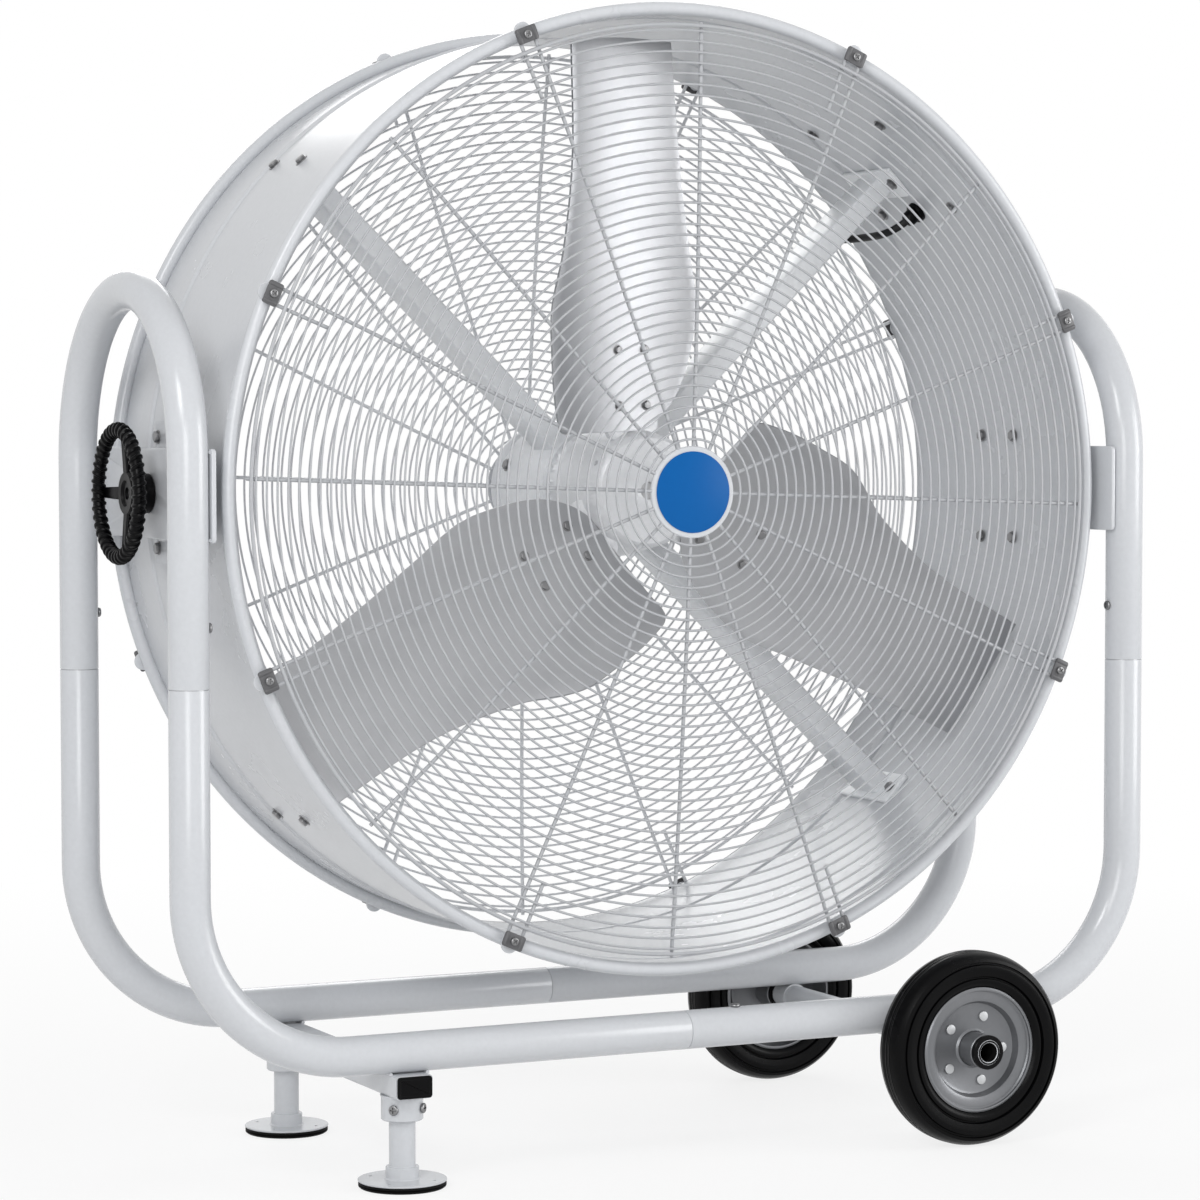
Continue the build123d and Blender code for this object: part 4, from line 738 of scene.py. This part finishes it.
# the drum
drum = {"front": -0.215, "rear": 0.240, "rimCentre": 0.626, "roll": 0.009, "inner": 0.6175, "outer": 0.6195,
        "beads": (-0.167, 0.120), "beadHigh": 0.003, "beadHalf": 0.006, "earAt": 0.630, "ear": 0.012,
        "earThick": 0.002, "clipAt": 0.625, "clock": -2.0, "stubTurn": 2.0, "steps": 224}
spokeAngles = [22.5 * index + drum["clock"] for index in range(16)]
clipSpokeAngles = spokeAngles[1::2]
clipAngles = [angle + drum["stubTurn"] / 2 for angle in clipSpokeAngles]


def wallLine(radius):
    d = drum
    line = [(radius, d["front"] + d["roll"])]
    for y in d["beads"]:
        line.append((radius, y - d["beadHalf"] * 1.25))
        for phase in [index / 4 - 1 for index in range(9)]:
            line.append((radius + d["beadHigh"] * (0.5 + 0.5 * cos(pi * phase)), y + d["beadHalf"] * phase))
        line.append((radius, y + d["beadHalf"] * 1.25))
    return line + [(radius, d["rear"] - d["roll"])]


def rollLine(y, way, radius):
    turns = [radians(-150 + 16 * index) for index in range(21)]
    return [(drum["rimCentre"] + radius * cos(turn), y + way * radius * sin(turn)) for turn in turns]


def buildDrum():
    d = drum
    parts = [turnedShape(wallLine(d["outer"]) + wallLine(d["inner"])[::-1], d["steps"])]
    # the rolled rims, each a rolled sheet with its seam tucked in behind
    for end, way in ends:
        y = d[end] - way * d["roll"]
        outline = rollLine(y, way, d["roll"]) + rollLine(y, way, d["roll"] - 0.002)[::-1]
        parts.append(turnedShape(outline, d["steps"]))
    # ear tabs behind the clips
    for end, way in ends:
        spot = (pivot.x + d["earAt"], d[end] + way * 0.0005, pivot.z)
        tab = primitive("cylinder", vertices=32, radius=d["ear"], depth=d["earThick"] + 0.001, location=spot,
                        rotation=(pi / 2, 0, 0))
        parts += copies(softenEdges(tab, 0.0006), [drumTurn(angle) for angle in clipAngles])
    finished(parts, "drumShell", "drum", drumCoat, "drum_shell", 30)


# guards
guard = {"spoke": 0.0025, "wire": 0.0016, "rimWire": 0.0026, "rimAt": 0.604, "pitch": 0.0139, "first": 0.069,
         "rings": 39, "spokeStart": 0.058, "spokeEnd": 0.609, "clipEnd": 0.628, "stubStart": 0.540,
         "plate": 0.060, "badge": 0.053, "edgeY": {"front": -0.2196, "rear": 0.2446},
         "dome": {"front": -0.018, "rear": 0.035}}


def domeY(end, radius):
    return guard["edgeY"][end] + guard["dome"][end] * (1 - (radius / guard["clipEnd"]) ** 2)


def guardRod(end, start, finish):
    # a round wire bent through one large arc, so that it follows the dome
    first, last = [Vector((radius, domeY(end, radius), 0)) for radius in (start, finish)]
    curving = -2 * guard["dome"][end] / guard["clipEnd"] ** 2
    slope, lastSlope = curving * start, curving * finish
    turn = atan2(lastSlope, 1) - atan2(slope, 1)
    bend = (last - first).length / (2 * sin(abs(turn) / 2))
    axis = (0, 0, 1) if turn > 0 else (0, 0, -1)
    steps = 10 if finish - start > 0.2 else 2
    moves = [("bend", bend, degrees(abs(turn)), axis, steps)]
    wire = tube(guard["spoke"], first + pivot, (1, slope, 0), moves, 12)
    return softenEdges(wire, 0.0005, 2, 60)


def buildSpokes(end):
    g = guard
    long = guardRod(end, g["spokeStart"], g["clipEnd"])
    short = guardRod(end, g["spokeStart"], g["spokeEnd"])
    stub = guardRod(end, g["stubStart"], g["clipEnd"])
    parts = [copied(long if angle in clipSpokeAngles else short, drumTurn(angle)) for angle in spokeAngles]
    parts += copies(stub, [drumTurn(angle + drum["stubTurn"]) for angle in clipSpokeAngles])
    removed(long)
    removed(short)
    finished(parts, "guardSpokes." + end, "drum", shadedAndLitWireCoats[end], end + "_guard_spokes")


def buildRings(end, way):
    g = guard
    sizes = [(g["first"] + index * g["pitch"], g["wire"]) for index in range(g["rings"])]
    parts = []
    for radius, wire in sizes + [(g["rimAt"], g["rimWire"])]:
        y = domeY(end, radius) + way * (g["spoke"] + wire - 0.0003)
        around = int(56 + 150 * radius / g["rimAt"])
        parts.append(primitive("torus", major_segments=around, minor_segments=8, major_radius=radius,
                               minor_radius=wire, location=(pivot.x, y, pivot.z), rotation=(pi / 2, 0, 0)))
    finished(parts, "guardRings." + end, "drum", shadedAndLitWireCoats[end], end + "_guard_rings", 60)


def buildPlates():
    parts = []
    r = guard["plate"]
    for end, way in ends:
        outline = [(radius, way * y) for radius, y in (
            (0, -0.0025), (r - 0.001, -0.0025), (r, -0.0015), (r, 0.0012), (r - 0.0012, 0.0025), (0, 0.0025))]
        parts.append(turnedShape(outline, 96, pivot + drumAxis * domeY(end, r)))
    finished(parts, "guardPlates", "drum", drumCoat, "guard_plates", 30)
    face = domeY("front", r) - 0.0025
    r = guard["badge"]
    outline = [(0, 0), (r - 0.0004, 0), (r, -0.0004), (r, -0.0011), (r - 0.0008, -0.0015), (0, -0.0015)]
    badge = turnedShape(outline, 96, pivot + drumAxis * face)
    finished(badge, "centreBadge", "drum", blueLabel, "centre_badge", 30)


clip = {"long": 0.030, "wide": 0.020, "thick": 0.003, "corner": 0.003, "edge": 0.0006, "ridge": 0.0032,
        "ridgeAt": 0.011, "ridgeIn": 0.0005, "screw": 0.0055, "screwHigh": 0.004}


def buildClips():
    c = clip
    at = pivot.x + drum["clipAt"]
    low, high, half = at - c["wide"] / 2, at + c["wide"] / 2, c["long"] / 2
    clips, places = [], []
    for end, way in ends:
        face = domeY(end, drum["clipAt"] - c["wide"] / 2) + way * guard["spoke"]
        first, last = sorted((face, face + way * c["thick"]))
        parts = [plate((low, first, pivot.z - half), (high, last, pivot.z + half), c["corner"], 1)]
        # pressed ridges over the two rods
        for z in (pivot.z - c["ridgeAt"], pivot.z + c["ridgeAt"]):
            y = face + way * 0.001
            parts.append(rod(c["ridge"], (low + c["ridgeIn"], y, z), (high - c["ridgeIn"], y, z), 16))
        model = softenEdges(joined(parts), c["edge"])
        clips += copies(model, [drumTurn(angle) for angle in clipAngles])
        for angle in clipAngles:
            spot = drumTurn(angle) @ Vector((at, face + way * (c["thick"] + 0.0001), pivot.z))
            places.append(standing(spot, (0, way, 0)) @ Matrix.Rotation(radians(angle * 7 + 20), 4, "Z"))
    finished(clips, "guardClips", "drum", clipCoat, "guard_clips")
    screws = copies(panScrew(c["screw"], c["screwHigh"]), places)
    finished(screws, "guardClipScrews", "drum", zincSteel, "guard_clip_screws")


# motor and struts
motor = {"r": 0.087, "bellEnd": 0.028, "bodyEnd": 0.172, "rear": 0.208, "rearR": 0.092, "ringGap": 0.0003,
         "ringWall": 0.006, "ringFront": 0.025, "ringRear": 0.165, "rib": 0.0086, "ribDeep": 0.0022,
         "core": 0.080, "bolt": 0.0058, "boltHigh": 0.0044, "boltAt": 0.079}
strut = {"angles": (44, 136, 224, 316), "wide": 0.030, "deep": 0.060, "front": 0.025, "sheet": 0.003,
         "fold": 0.004, "footWide": 0.050, "footLong": 0.130, "boltApart": 0.098, "footThick": 0.006,
         "ringBoltY": 0.150, "ringBoltTurn": 24, "bolt": 0.0072, "boltHigh": 0.0052}


def rolledPlate(low, high, nearY, farY, spanAngle):
    # a plate rolled round the drum's axis, centred on +X
    start = Matrix.Rotation(radians(spanAngle), 3, "Y")
    corners = [start @ Vector((r, y, 0)) for r, y in ((low, nearY), (high, nearY), (high, farY), (low, farY))]
    piece = drawn(pivot, corners + corners[:1])
    bpy.ops.mesh.remove_doubles(threshold=1e-6)
    bpy.ops.mesh.spin(steps=8, angle=radians(2 * spanAngle), center=pivot, axis=drumAxis)
    tidyShell()
    return softenEdges(applyPlace(piece), 0.0015, 3)


def buildStruts():
    m, s = motor, strut
    inner = m["r"] + m["ringGap"]
    outer = inner + m["ringWall"]
    front, back = m["ringFront"], m["ringRear"]
    outline = [(inner, front), (outer - 0.001, front), (outer, front + 0.001), (outer, back - 0.001),
               (outer - 0.001, back), (inner, back)]
    parts = [turnedShape(outline)]
    # a folded channel, open to the rear
    channel = plate((outer - 0.002, s["front"], -s["wide"] / 2),
                    (drum["inner"] - s["footThick"], s["front"] + s["deep"], s["wide"] / 2))
    pickBy(channel, "FACE", lambda face: face.normal.y > 0.9 or abs(face.normal.x) > 0.9)
    bpy.ops.mesh.delete(type="FACE")
    softenEdges(channel, s["fold"], 4, 60)
    modified(channel, "SOLIDIFY", thickness=s["sheet"], offset=-1)
    softenEdges(channel, 0.0006, 2, 60)
    channel.data.transform(Matrix.Translation(pivot))
    # the foot: a thick plate rolled to the wall
    wall = drum["inner"] - 0.0003
    middle, reach = s["front"] + s["deep"] / 2, s["footLong"] / 2
    footPlate = rolledPlate(wall - s["footThick"], wall, middle - reach, middle + reach,
                            degrees(s["footWide"] / 2 / wall))
    for angle in s["angles"]:
        parts += [copied(channel, drumTurn(angle)), copied(footPlate, drumTurn(angle))]
    removed(channel)
    removed(footPlate)
    finished(parts, "motorSpider", "drum", litSpiderCoat, "motor_spider")


def buildDrumBolts():
    m, s, box = motor, strut, controlBox
    places = []
    for angle in s["angles"]:
        for shift in (-0.5, 0.5):
            y = s["front"] + s["deep"] / 2 + shift * s["boltApart"]
            places.append(onDrum(angle, drum["outer"] - 0.0001, y))
            places.append(onDrum(angle, drum["inner"] - s["footThick"] + 0.0003, y, -1))
        ring = m["r"] + m["ringGap"] + m["ringWall"] - 0.0002
        places += [onDrum(angle + way * s["ringBoltTurn"], ring, s["ringBoltY"]) for way in (-1, 1)]
    for way in (-1, 1):
        for y in (box["y"] - box["boltY"], box["y"] + box["boltY"]):
            angle = box["angle"] + way * box["boltTurn"]
            places += [onDrum(angle, box["boltHead"], y), onDrum(angle, drum["inner"] - 0.0003, y, -1)]
    bolts = copies(hexHead(s["bolt"], s["boltHigh"], 1.3), places)
    finished(bolts, "drumBolts", "drum", zincSteel, "drum_bolts")


def buildMotor():
    m = motor
    # ribbed body
    y = m["bellEnd"]
    outline = [(m["core"], y)]
    while y + m["rib"] < m["bodyEnd"] - 0.003:
        outline += near(m["r"], y, (0, 0), (0, 0.005), (-m["ribDeep"], 0.0058), (-m["ribDeep"], 0.0078))
        y += m["rib"]
    outline += [(m["r"], y), (m["r"], m["bodyEnd"]), (m["core"], m["bodyEnd"])]
    finished(turnedShape(outline), "motorHousing", "drum", litMotorCoat, "motor_housing", 30)
    finished(smoothCopy("motor_front_bell"), "motorFrontBell", "drum", castAlloy, "motor_front_bell", 30)
    r, back, start = m["rearR"], m["rear"], m["bodyEnd"] + 0.0003
    outline = [(0, back - 0.005), (0.078, back - 0.005), (0.079, start), (r - 0.006, start),
               (r - 0.002, start + 0.002), (r, start + 0.006), (r, back - 0.012), (r - 0.003, back - 0.005),
               (r - 0.009, back - 0.0008), (r - 0.012, back), (0.060, back), (0.056, back - 0.002),
               (0.034, back - 0.002), (0.030, back), (0, back)]
    finished(turnedShape(outline), "motorRearBell", "drum", litMotorCoat, "motor_rear_bell", 30)
    places = [standing(drumTurn(angle) @ (pivot + Vector((m["boltAt"], back - 0.0006, 0))), drumAxis)
              for angle in strut["angles"]]
    finished(copies(hexHead(m["bolt"], m["boltHigh"], 1.3), places), "motorBellScrews", "drum", zincSteel)
    finished(smoothCopy("terminal_box", 0.0012), "terminalBox", "drum", litMotorCoat, "terminal_box", 30)
    dressed("stator_core", groundSteel)
    dressed("stator_windings", copperWinding)
    dressed("motor_bearings", groundSteel)


# cable, glands and the control box
cable = {"r": 0.0055, "gland": 38.9, "glandY": 0.004, "nose": 0.594, "bend": 0.026}
gland = {"r": 0.011, "flange": 0.015, "steps": 36}
controlBox = {"angle": 46.3, "y": 0.006, "long": 0.176, "wide": 0.150, "floor": 0.6275, "depth": 0.048,
              "boltY": 0.094, "boltTurn": 7.4, "boltHead": 0.6368, "wallX": 0.6515, "switchZ": 0.0375,
              "cover": 0.004, "coverCorner": 0.008, "screwIn": 0.010, "screw": 0.0036, "screwHigh": 0.0024,
              "knob": 0.0158, "knobHigh": 0.0175, "flutes": 7.5}


def buildCable():
    # the same straight runs and bends as the solid, as one smooth curve beside the strut
    lower = motor["r"] + 0.0006 + motor["ringWall"] + 0.030
    edge = (strut["sheet"] - strut["wide"]) / 2
    behind = strut["front"] + strut["deep"] + 0.0003 + cable["r"]
    glandTurn = drumTurn(cable["gland"] - strut["angles"][0])
    route = [(lower + 0.0001, 0.128, edge), (0.160, 0.128, edge), (0.190, behind, edge),
             (0.238, behind, edge), (0.462, behind, edge), (0.5056, behind, edge), (0.5356, 0.118, -0.030),
             (0.5576, 0.090, -0.050)]
    route += [glandTurn @ (pivot + Vector((radius, cable["glandY"], 0))) - pivot
              for radius in (cable["nose"] - cable["bend"], cable["nose"] + 0.007)]
    turn = drumTurn(strut["angles"][0])
    curve = bpy.data.curves.new("motorCable", "CURVE")
    curve.dimensions = "3D"
    line = curve.splines.new("NURBS")
    line.points.add(len(route) - 1)
    for point, place in zip(line.points, route):
        point.co = (*(turn @ (pivot + Vector(place))), 1)
    line.order_u = 3
    line.use_endpoint_u = True
    line.resolution_u = 10
    curve.bevel_depth = cable["r"]
    curve.bevel_resolution = 5
    curve.use_fill_caps = True
    activate(linked("motorCable", curve))
    bpy.ops.object.convert(target="MESH")
    editMode()
    tidyShell()
    finished(bpy.context.object, "motorCable", "drum", cableJacket, "motor_cable", 40)


def glandShape(nose, tail, flangeLow, bore, place):
    # a compression gland: nut, flange and thread
    r, flange, flangeHigh = gland["r"], gland["flange"], 0.008
    outline = [(bore, tail), (r - 0.001, tail), (r - 0.001, flangeLow), (flange - 0.001, flangeLow),
               (flange, flangeLow + 0.001), (flange, flangeHigh - 0.001), (flange - 0.001, flangeHigh),
               (r, flangeHigh), (r, nose - 0.004), (r - 0.002, nose - 0.0005), (bore + 0.001, nose),
               (bore, nose - 0.001)]
    piece = turnedShape(outline, gland["steps"], (0, 0, 0), upAxis)
    piece.data.transform(place)
    return piece


def buildGlands():
    box = controlBox
    inner = glandShape(drum["inner"] - cable["nose"], -0.0138, 0.0003, 0.0056,
                       onDrum(cable["gland"], drum["inner"], cable["glandY"], -1))
    spot = pivot + Vector((box["wallX"], box["y"] + box["long"] / 2, -box["switchZ"]))
    outer = glandShape(0.016, -0.009, 0.0001, 0.006, standing(drumTurn(box["angle"]) @ spot, drumAxis))
    finished([inner, outer], "cableGlands", "drum", blackMoulding, "cable_glands")


def buildControlBox():
    box = controlBox
    finished(smoothCopy("control_box", 0.001), "controlBox", "drum", drumCoat, "control_box", 30)
    start = box["floor"] + box["depth"] + 0.0001
    half, wide, top = box["long"] / 2, box["wide"] / 2, start + box["cover"]
    cover = plate((start, -half, -wide), (top, half, wide), box["coverCorner"], 0)
    insetFace(cover, lambda face: face.normal.x > 0.9, ((0.006, 0), (0.0015, -0.001)))
    softenEdges(cover, 0.0006, 2, 30)
    place = drumTurn(box["angle"]) @ Matrix.Translation(pivot + Vector((0, box["y"], 0)))
    cover.data.transform(place)
    finished(cover, "controlBoxCover", "drum", drumCoat, "control_box_cover", 30)
    y, z = half - box["screwIn"], wide - box["screwIn"]
    places = [standing(place @ Vector((top - 0.0012, along * y, across * z)), place.to_3x3() @ tiltAxis)
              for along in (-1, 1) for across in (-1, 1)]
    finished(copies(panScrew(box["screw"], box["screwHigh"]), places), "coverScrews", "drum", zincSteel)
    # the knob: a skirt with flutes, a raised pointer grip and a stem
    knob = primitive("cylinder", vertices=48, radius=box["knob"], depth=box["knobHigh"],
                     location=(0, 0, 0.0090))

    def onFlute(face):
        turn = round(degrees(atan2(face.center.y, face.center.x)) / box["flutes"])
        return abs(face.normal.z) < 0.1 and turn % 2

    pickBy(knob, "FACE", onFlute)
    bpy.ops.transform.resize(value=(0.965, 0.965, 1))
    softenEdges(knob, 0.0012, 2, 60)
    grip = softenEdges(plate((-0.0138, -0.0034, 0.0165), (0.0138, 0.0034, 0.0242), 0.0015, 2), 0.001)
    knob = joined([knob, grip, rod(0.0039, (0, 0, -0.011), (0, 0, 0.002), 20)])
    seat = place @ Matrix.Translation((box["wallX"], half + 0.0002, box["switchZ"]))
    knob.data.transform(seat @ Matrix.Rotation(-pi / 2, 4, "X"))
    finished(knob, "speedSwitch", "switch", blackMoulding, "speed_switch")


# trunnions
trunnion = {"flat": 0.631, "boltY": 0.042, "boltZ": 0.072, "bolt": 0.0075, "boltHigh": 0.0054}


def buildTrunnions():
    t = trunnion
    finished(smoothCopy("trunnion_pads", 0.0015), "trunnionPads", "drum", frameCoat, "trunnion_pads", 30)
    finished(smoothCopy("friction_discs"), "frictionDiscs", "frame", fibreDisc, "friction_discs", 30)
    finished(smoothCopy("pivot_studs", 0.001), "pivotStuds", "drum", groundSteel, "pivot_studs", 30)
    wall = sqrt(drum["inner"] ** 2 - (t["boltZ"] + 0.009) ** 2) - 0.0005
    places = []
    for _, side in sides:
        for y in (-t["boltY"], t["boltY"]):
            for z in (pivot.z - t["boltZ"], pivot.z + t["boltZ"]):
                places.append(standing((side * t["flat"], y, z), (side, 0, 0)))
                places.append(standing((side * wall, y, z), (-side, 0, 0)))
    bolts = copies(hexHead(t["bolt"], t["boltHigh"], 1.2), places)
    finished(bolts, "trunnionBolts", "drum", zincSteel, "trunnion_bolts")


# rotor
blade = {"clock": (91.8, 211.8, 331.8), "pitch": 14.3, "planeY": -0.080, "tip": 0.600, "root": 0.079,
         "thick": 0.003, "camber": 0.420, "corner": 0.014, "edge": 0.0009,
         "front": [(0.079, 0.161), (0.132, 0.1714), (0.180, 0.174), (0.240, 0.1714), (0.320, 0.1375),
                   (0.440, 0.1114), (0.5904, 0.107)],
         "back": [(0.079, 0.0139), (0.102, 0.0452), (0.130, 0.0679), (0.180, 0.0879), (0.240, 0.100),
                  (0.320, 0.0914), (0.440, 0.080), (0.5956, 0.0722)],
         "boltSpans": (0.1134, 0.1874), "boltChords": (-0.015, 0.033), "arm": 0.0081, "bolt": 0.0058,
         "boltHigh": 0.0045}
bladeTilt = Matrix.Rotation(radians(blade["pitch"]), 3, "X")


def onBlade(span, chord, rise):
    # from span, chord and rise to the drum's frame for a blade that points along +X
    drop = blade["camber"] - sqrt(blade["camber"] ** 2 - chord ** 2)
    return bladeTilt @ Vector((span, rise - drop, chord)) + Vector((0, blade["planeY"], 0)) + pivot


def edgeChord(line, span):
    # a smooth curve through the points of one long edge
    last = len(line) - 1
    index = max(i for i in range(last) if i == 0 or line[i][0] <= span)
    slopes = []
    for i in (index, index + 1):
        low, high = line[max(i - 1, 0)], line[min(i + 1, last)]
        slopes.append((high[1] - low[1]) / (high[0] - low[0]))
    (r0, c0), (r1, c1) = line[index], line[index + 1]
    step = r1 - r0
    t = (span - r0) / step
    return (c0 * (1 + 2 * t) * (1 - t) ** 2 + slopes[0] * step * t * (1 - t) ** 2
            + c1 * t * t * (3 - 2 * t) + slopes[1] * step * t * t * (t - 1))


def buildBlades():
    b = blade
    sheet = primitive("grid", x_subdivisions=48, y_subdivisions=20, size=2)
    # each grid point goes to its span and chord: rounded corners at the root, a round tip
    for vertex in sheet.data.vertices:
        along, across = (vertex.co.x + 1) / 2, vertex.co.y
        line, way = (b["front"], 1) if across > 0 else (b["back"], -1)
        tipSpan = sqrt(b["tip"] ** 2 - (across * line[-1][1]) ** 2)
        span = b["root"] + (tipSpan - b["root"]) * along ** 1.5
        chord = edgeChord(line, min(span, line[-1][0]))
        inset = max(0, b["corner"] - (span - b["root"]))
        rounding = b["corner"] - sqrt(b["corner"] ** 2 - inset ** 2)
        vertex.co = onBlade(span, way * abs(across) * max(chord - rounding, 0.002), -b["thick"] / 2)
    modified(sheet, "SOLIDIFY", thickness=b["thick"] * 0.96, offset=0)
    softenEdges(sheet, b["edge"], 3, 60)
    for count, made in enumerate(copies(sheet, [drumTurn(angle) for angle in b["clock"]]), 1):
        finished(made, "fanBlade." + str(count), "rotor", bladeAlloy, "fan_blade_" + str(count), 50)


def buildRotor():
    b = blade
    finished(smoothCopy("fan_hub", 0.0012, 40), "fanHub", "rotor", castAlloy, "fan_hub", 30)
    places = []
    for angle in b["clock"]:
        turn = drumTurn(angle)
        for span in b["boltSpans"]:
            for chord in b["boltChords"]:
                normal = bladeTilt @ Vector((0, sqrt(b["camber"] ** 2 - chord ** 2), chord)).normalized()
                front = onBlade(span, chord, -b["thick"]) + normal * 0.0004
                back = onBlade(span, chord, b["arm"]) - normal * 0.0004
                places.append(standing(turn @ front, turn.to_3x3() @ -normal))
                places.append(standing(turn @ back, turn.to_3x3() @ normal))
    bolts = copies(hexHead(b["bolt"], b["boltHigh"]), places)
    finished(bolts, "bladeBolts", "rotor", zincSteel, "blade_bolts")
    dressed("motor_shaft", groundSteel)
    dressed("rotor_core", groundSteel)


# the room, the lights and the camera
room = {"floor": (0.90, 0.90, 0.90, 1), "floorWhite": 0.80, "shadowTo": 0.8, "whiteFrom": 3.0, "world": 0.50,
        "size": 40}
lamps = (("keyLamp", (-3.4, -3.0, 3.6), 1.5, 80), ("frontLamp", (-3.0, -5.0, 1.7), 2.2, 82),
         ("fillLamp", (4.2, -2.9, 1.6), 2.4, 105), ("rearLamp", (1.5, 4.5, 3.2), 2.6, 70))
camera = {"place": (-2.2153, -4.5548, 0.9704), "yaw": 26.058, "pitch": 3.028, "focalPx": 3733.7,
          "centrePx": (620, 620), "framePx": 1200, "sensor": 36, "far": 100}


def showWhite(tree, kind, share, plain, white):
    # a share of white shows to the camera, in mirrors and through clear things
    path = addNode(tree, "LightPath").outputs
    found = path["Is Camera Ray"]
    for label in ("Is Glossy Ray", "Is Transmission Ray"):
        found = fed(tree, "Math", {0: found, 1: path[label]}, operation="MAXIMUM")
    factor = fed(tree, "Math", {0: found, 1: share}, operation="MULTIPLY")
    surface = fed(tree, "MixShader", {0: factor, 1: plain, 2: white})
    feed(tree, addNode(tree, "Output" + kind), {"Surface": surface})


def buildRoom():
    floor = primitive("plane", size=room["size"])
    floor.name = "studioFloor"
    material = bpy.data.materials.new("studioFloor")
    material.use_nodes = True
    tree = material.node_tree
    tree.nodes.clear()
    # the shadow shows round the fan, and the floor fades to plain white further out
    place = addNode(tree, "TexCoord").outputs["Object"]
    away = fed(tree, "VectorMath", {0: place}, 1, operation="LENGTH")
    share = spread(tree, away, room["shadowTo"], room["whiteFrom"], room["floorWhite"], 1.0)
    matt = fed(tree, "BsdfDiffuse", {"Color": room["floor"]})
    showWhite(tree, "Material", share, matt, fed(tree, "Emission", {}))
    floor.data.materials.append(material)
    world = bpy.data.worlds.new("studio")
    world.use_nodes = True
    bpy.context.scene.world = world
    tree = world.node_tree
    tree.nodes.clear()
    dim, white = [fed(tree, "Background", {"Color": (1, 1, 1, 1), "Strength": strength})
                  for strength in (room["world"], 1.0)]
    showWhite(tree, "World", 1.0, dim, white)


def buildLights():
    for name, place, size, power in lamps:
        light = bpy.data.lights.new(name, "AREA")
        light.size = size
        light.energy = power
        lamp = linked(name, light)
        lamp.location = place
        lamp.rotation_euler = (pivot - Vector(place)).to_track_quat("-Z", "Y").to_euler()


def buildCamera():
    c = camera
    lens = bpy.data.cameras.new("photoCamera")
    lens.sensor_width = c["sensor"]
    lens.lens = c["focalPx"] / c["framePx"] * c["sensor"]
    lens.shift_x = 0.5 - c["centrePx"][0] / c["framePx"]
    lens.shift_y = c["centrePx"][1] / c["framePx"] - 0.5
    lens.clip_end = c["far"]
    eye = linked("photoCamera", lens)
    yaw, pitch = radians(c["yaw"]), radians(c["pitch"])
    look = Vector((sin(yaw) * cos(pitch), cos(yaw) * cos(pitch), -sin(pitch)))
    eye.location = c["place"]
    eye.rotation_euler = look.to_track_quat("-Z", "Y").to_euler()
    bpy.context.scene.camera = eye
    bpy.context.scene.view_settings.view_transform = "Standard"


# build everything
for name, side in sides:
    buildHoop(name, side)
    for end, along in ends:
        buildLowerTube(name, side, end, along)
    buildHandwheel(name, side)
buildFrameScrews()
buildPivotPlates()
buildCrossbar()
buildCrossbarCaps()
for end, along in ends:
    buildFoot(end, along)
    buildTyre(end, along)
    buildRim(end, along)
    buildBushes(end, along)
buildAxle()
dressed("join_sleeves", groundSteel)
print("frame, wheels and feet made")
buildDrum()
for end, way in ends:
    buildSpokes(end)
    buildRings(end, way)
buildPlates()
buildClips()
print("drum and guards made")
buildStruts()
buildDrumBolts()
buildMotor()
buildCable()
buildGlands()
buildControlBox()
buildTrunnions()
print("motor and box made")
buildBlades()
buildRotor()
print("rotor made")
buildRoom()
buildLights()
buildCamera()
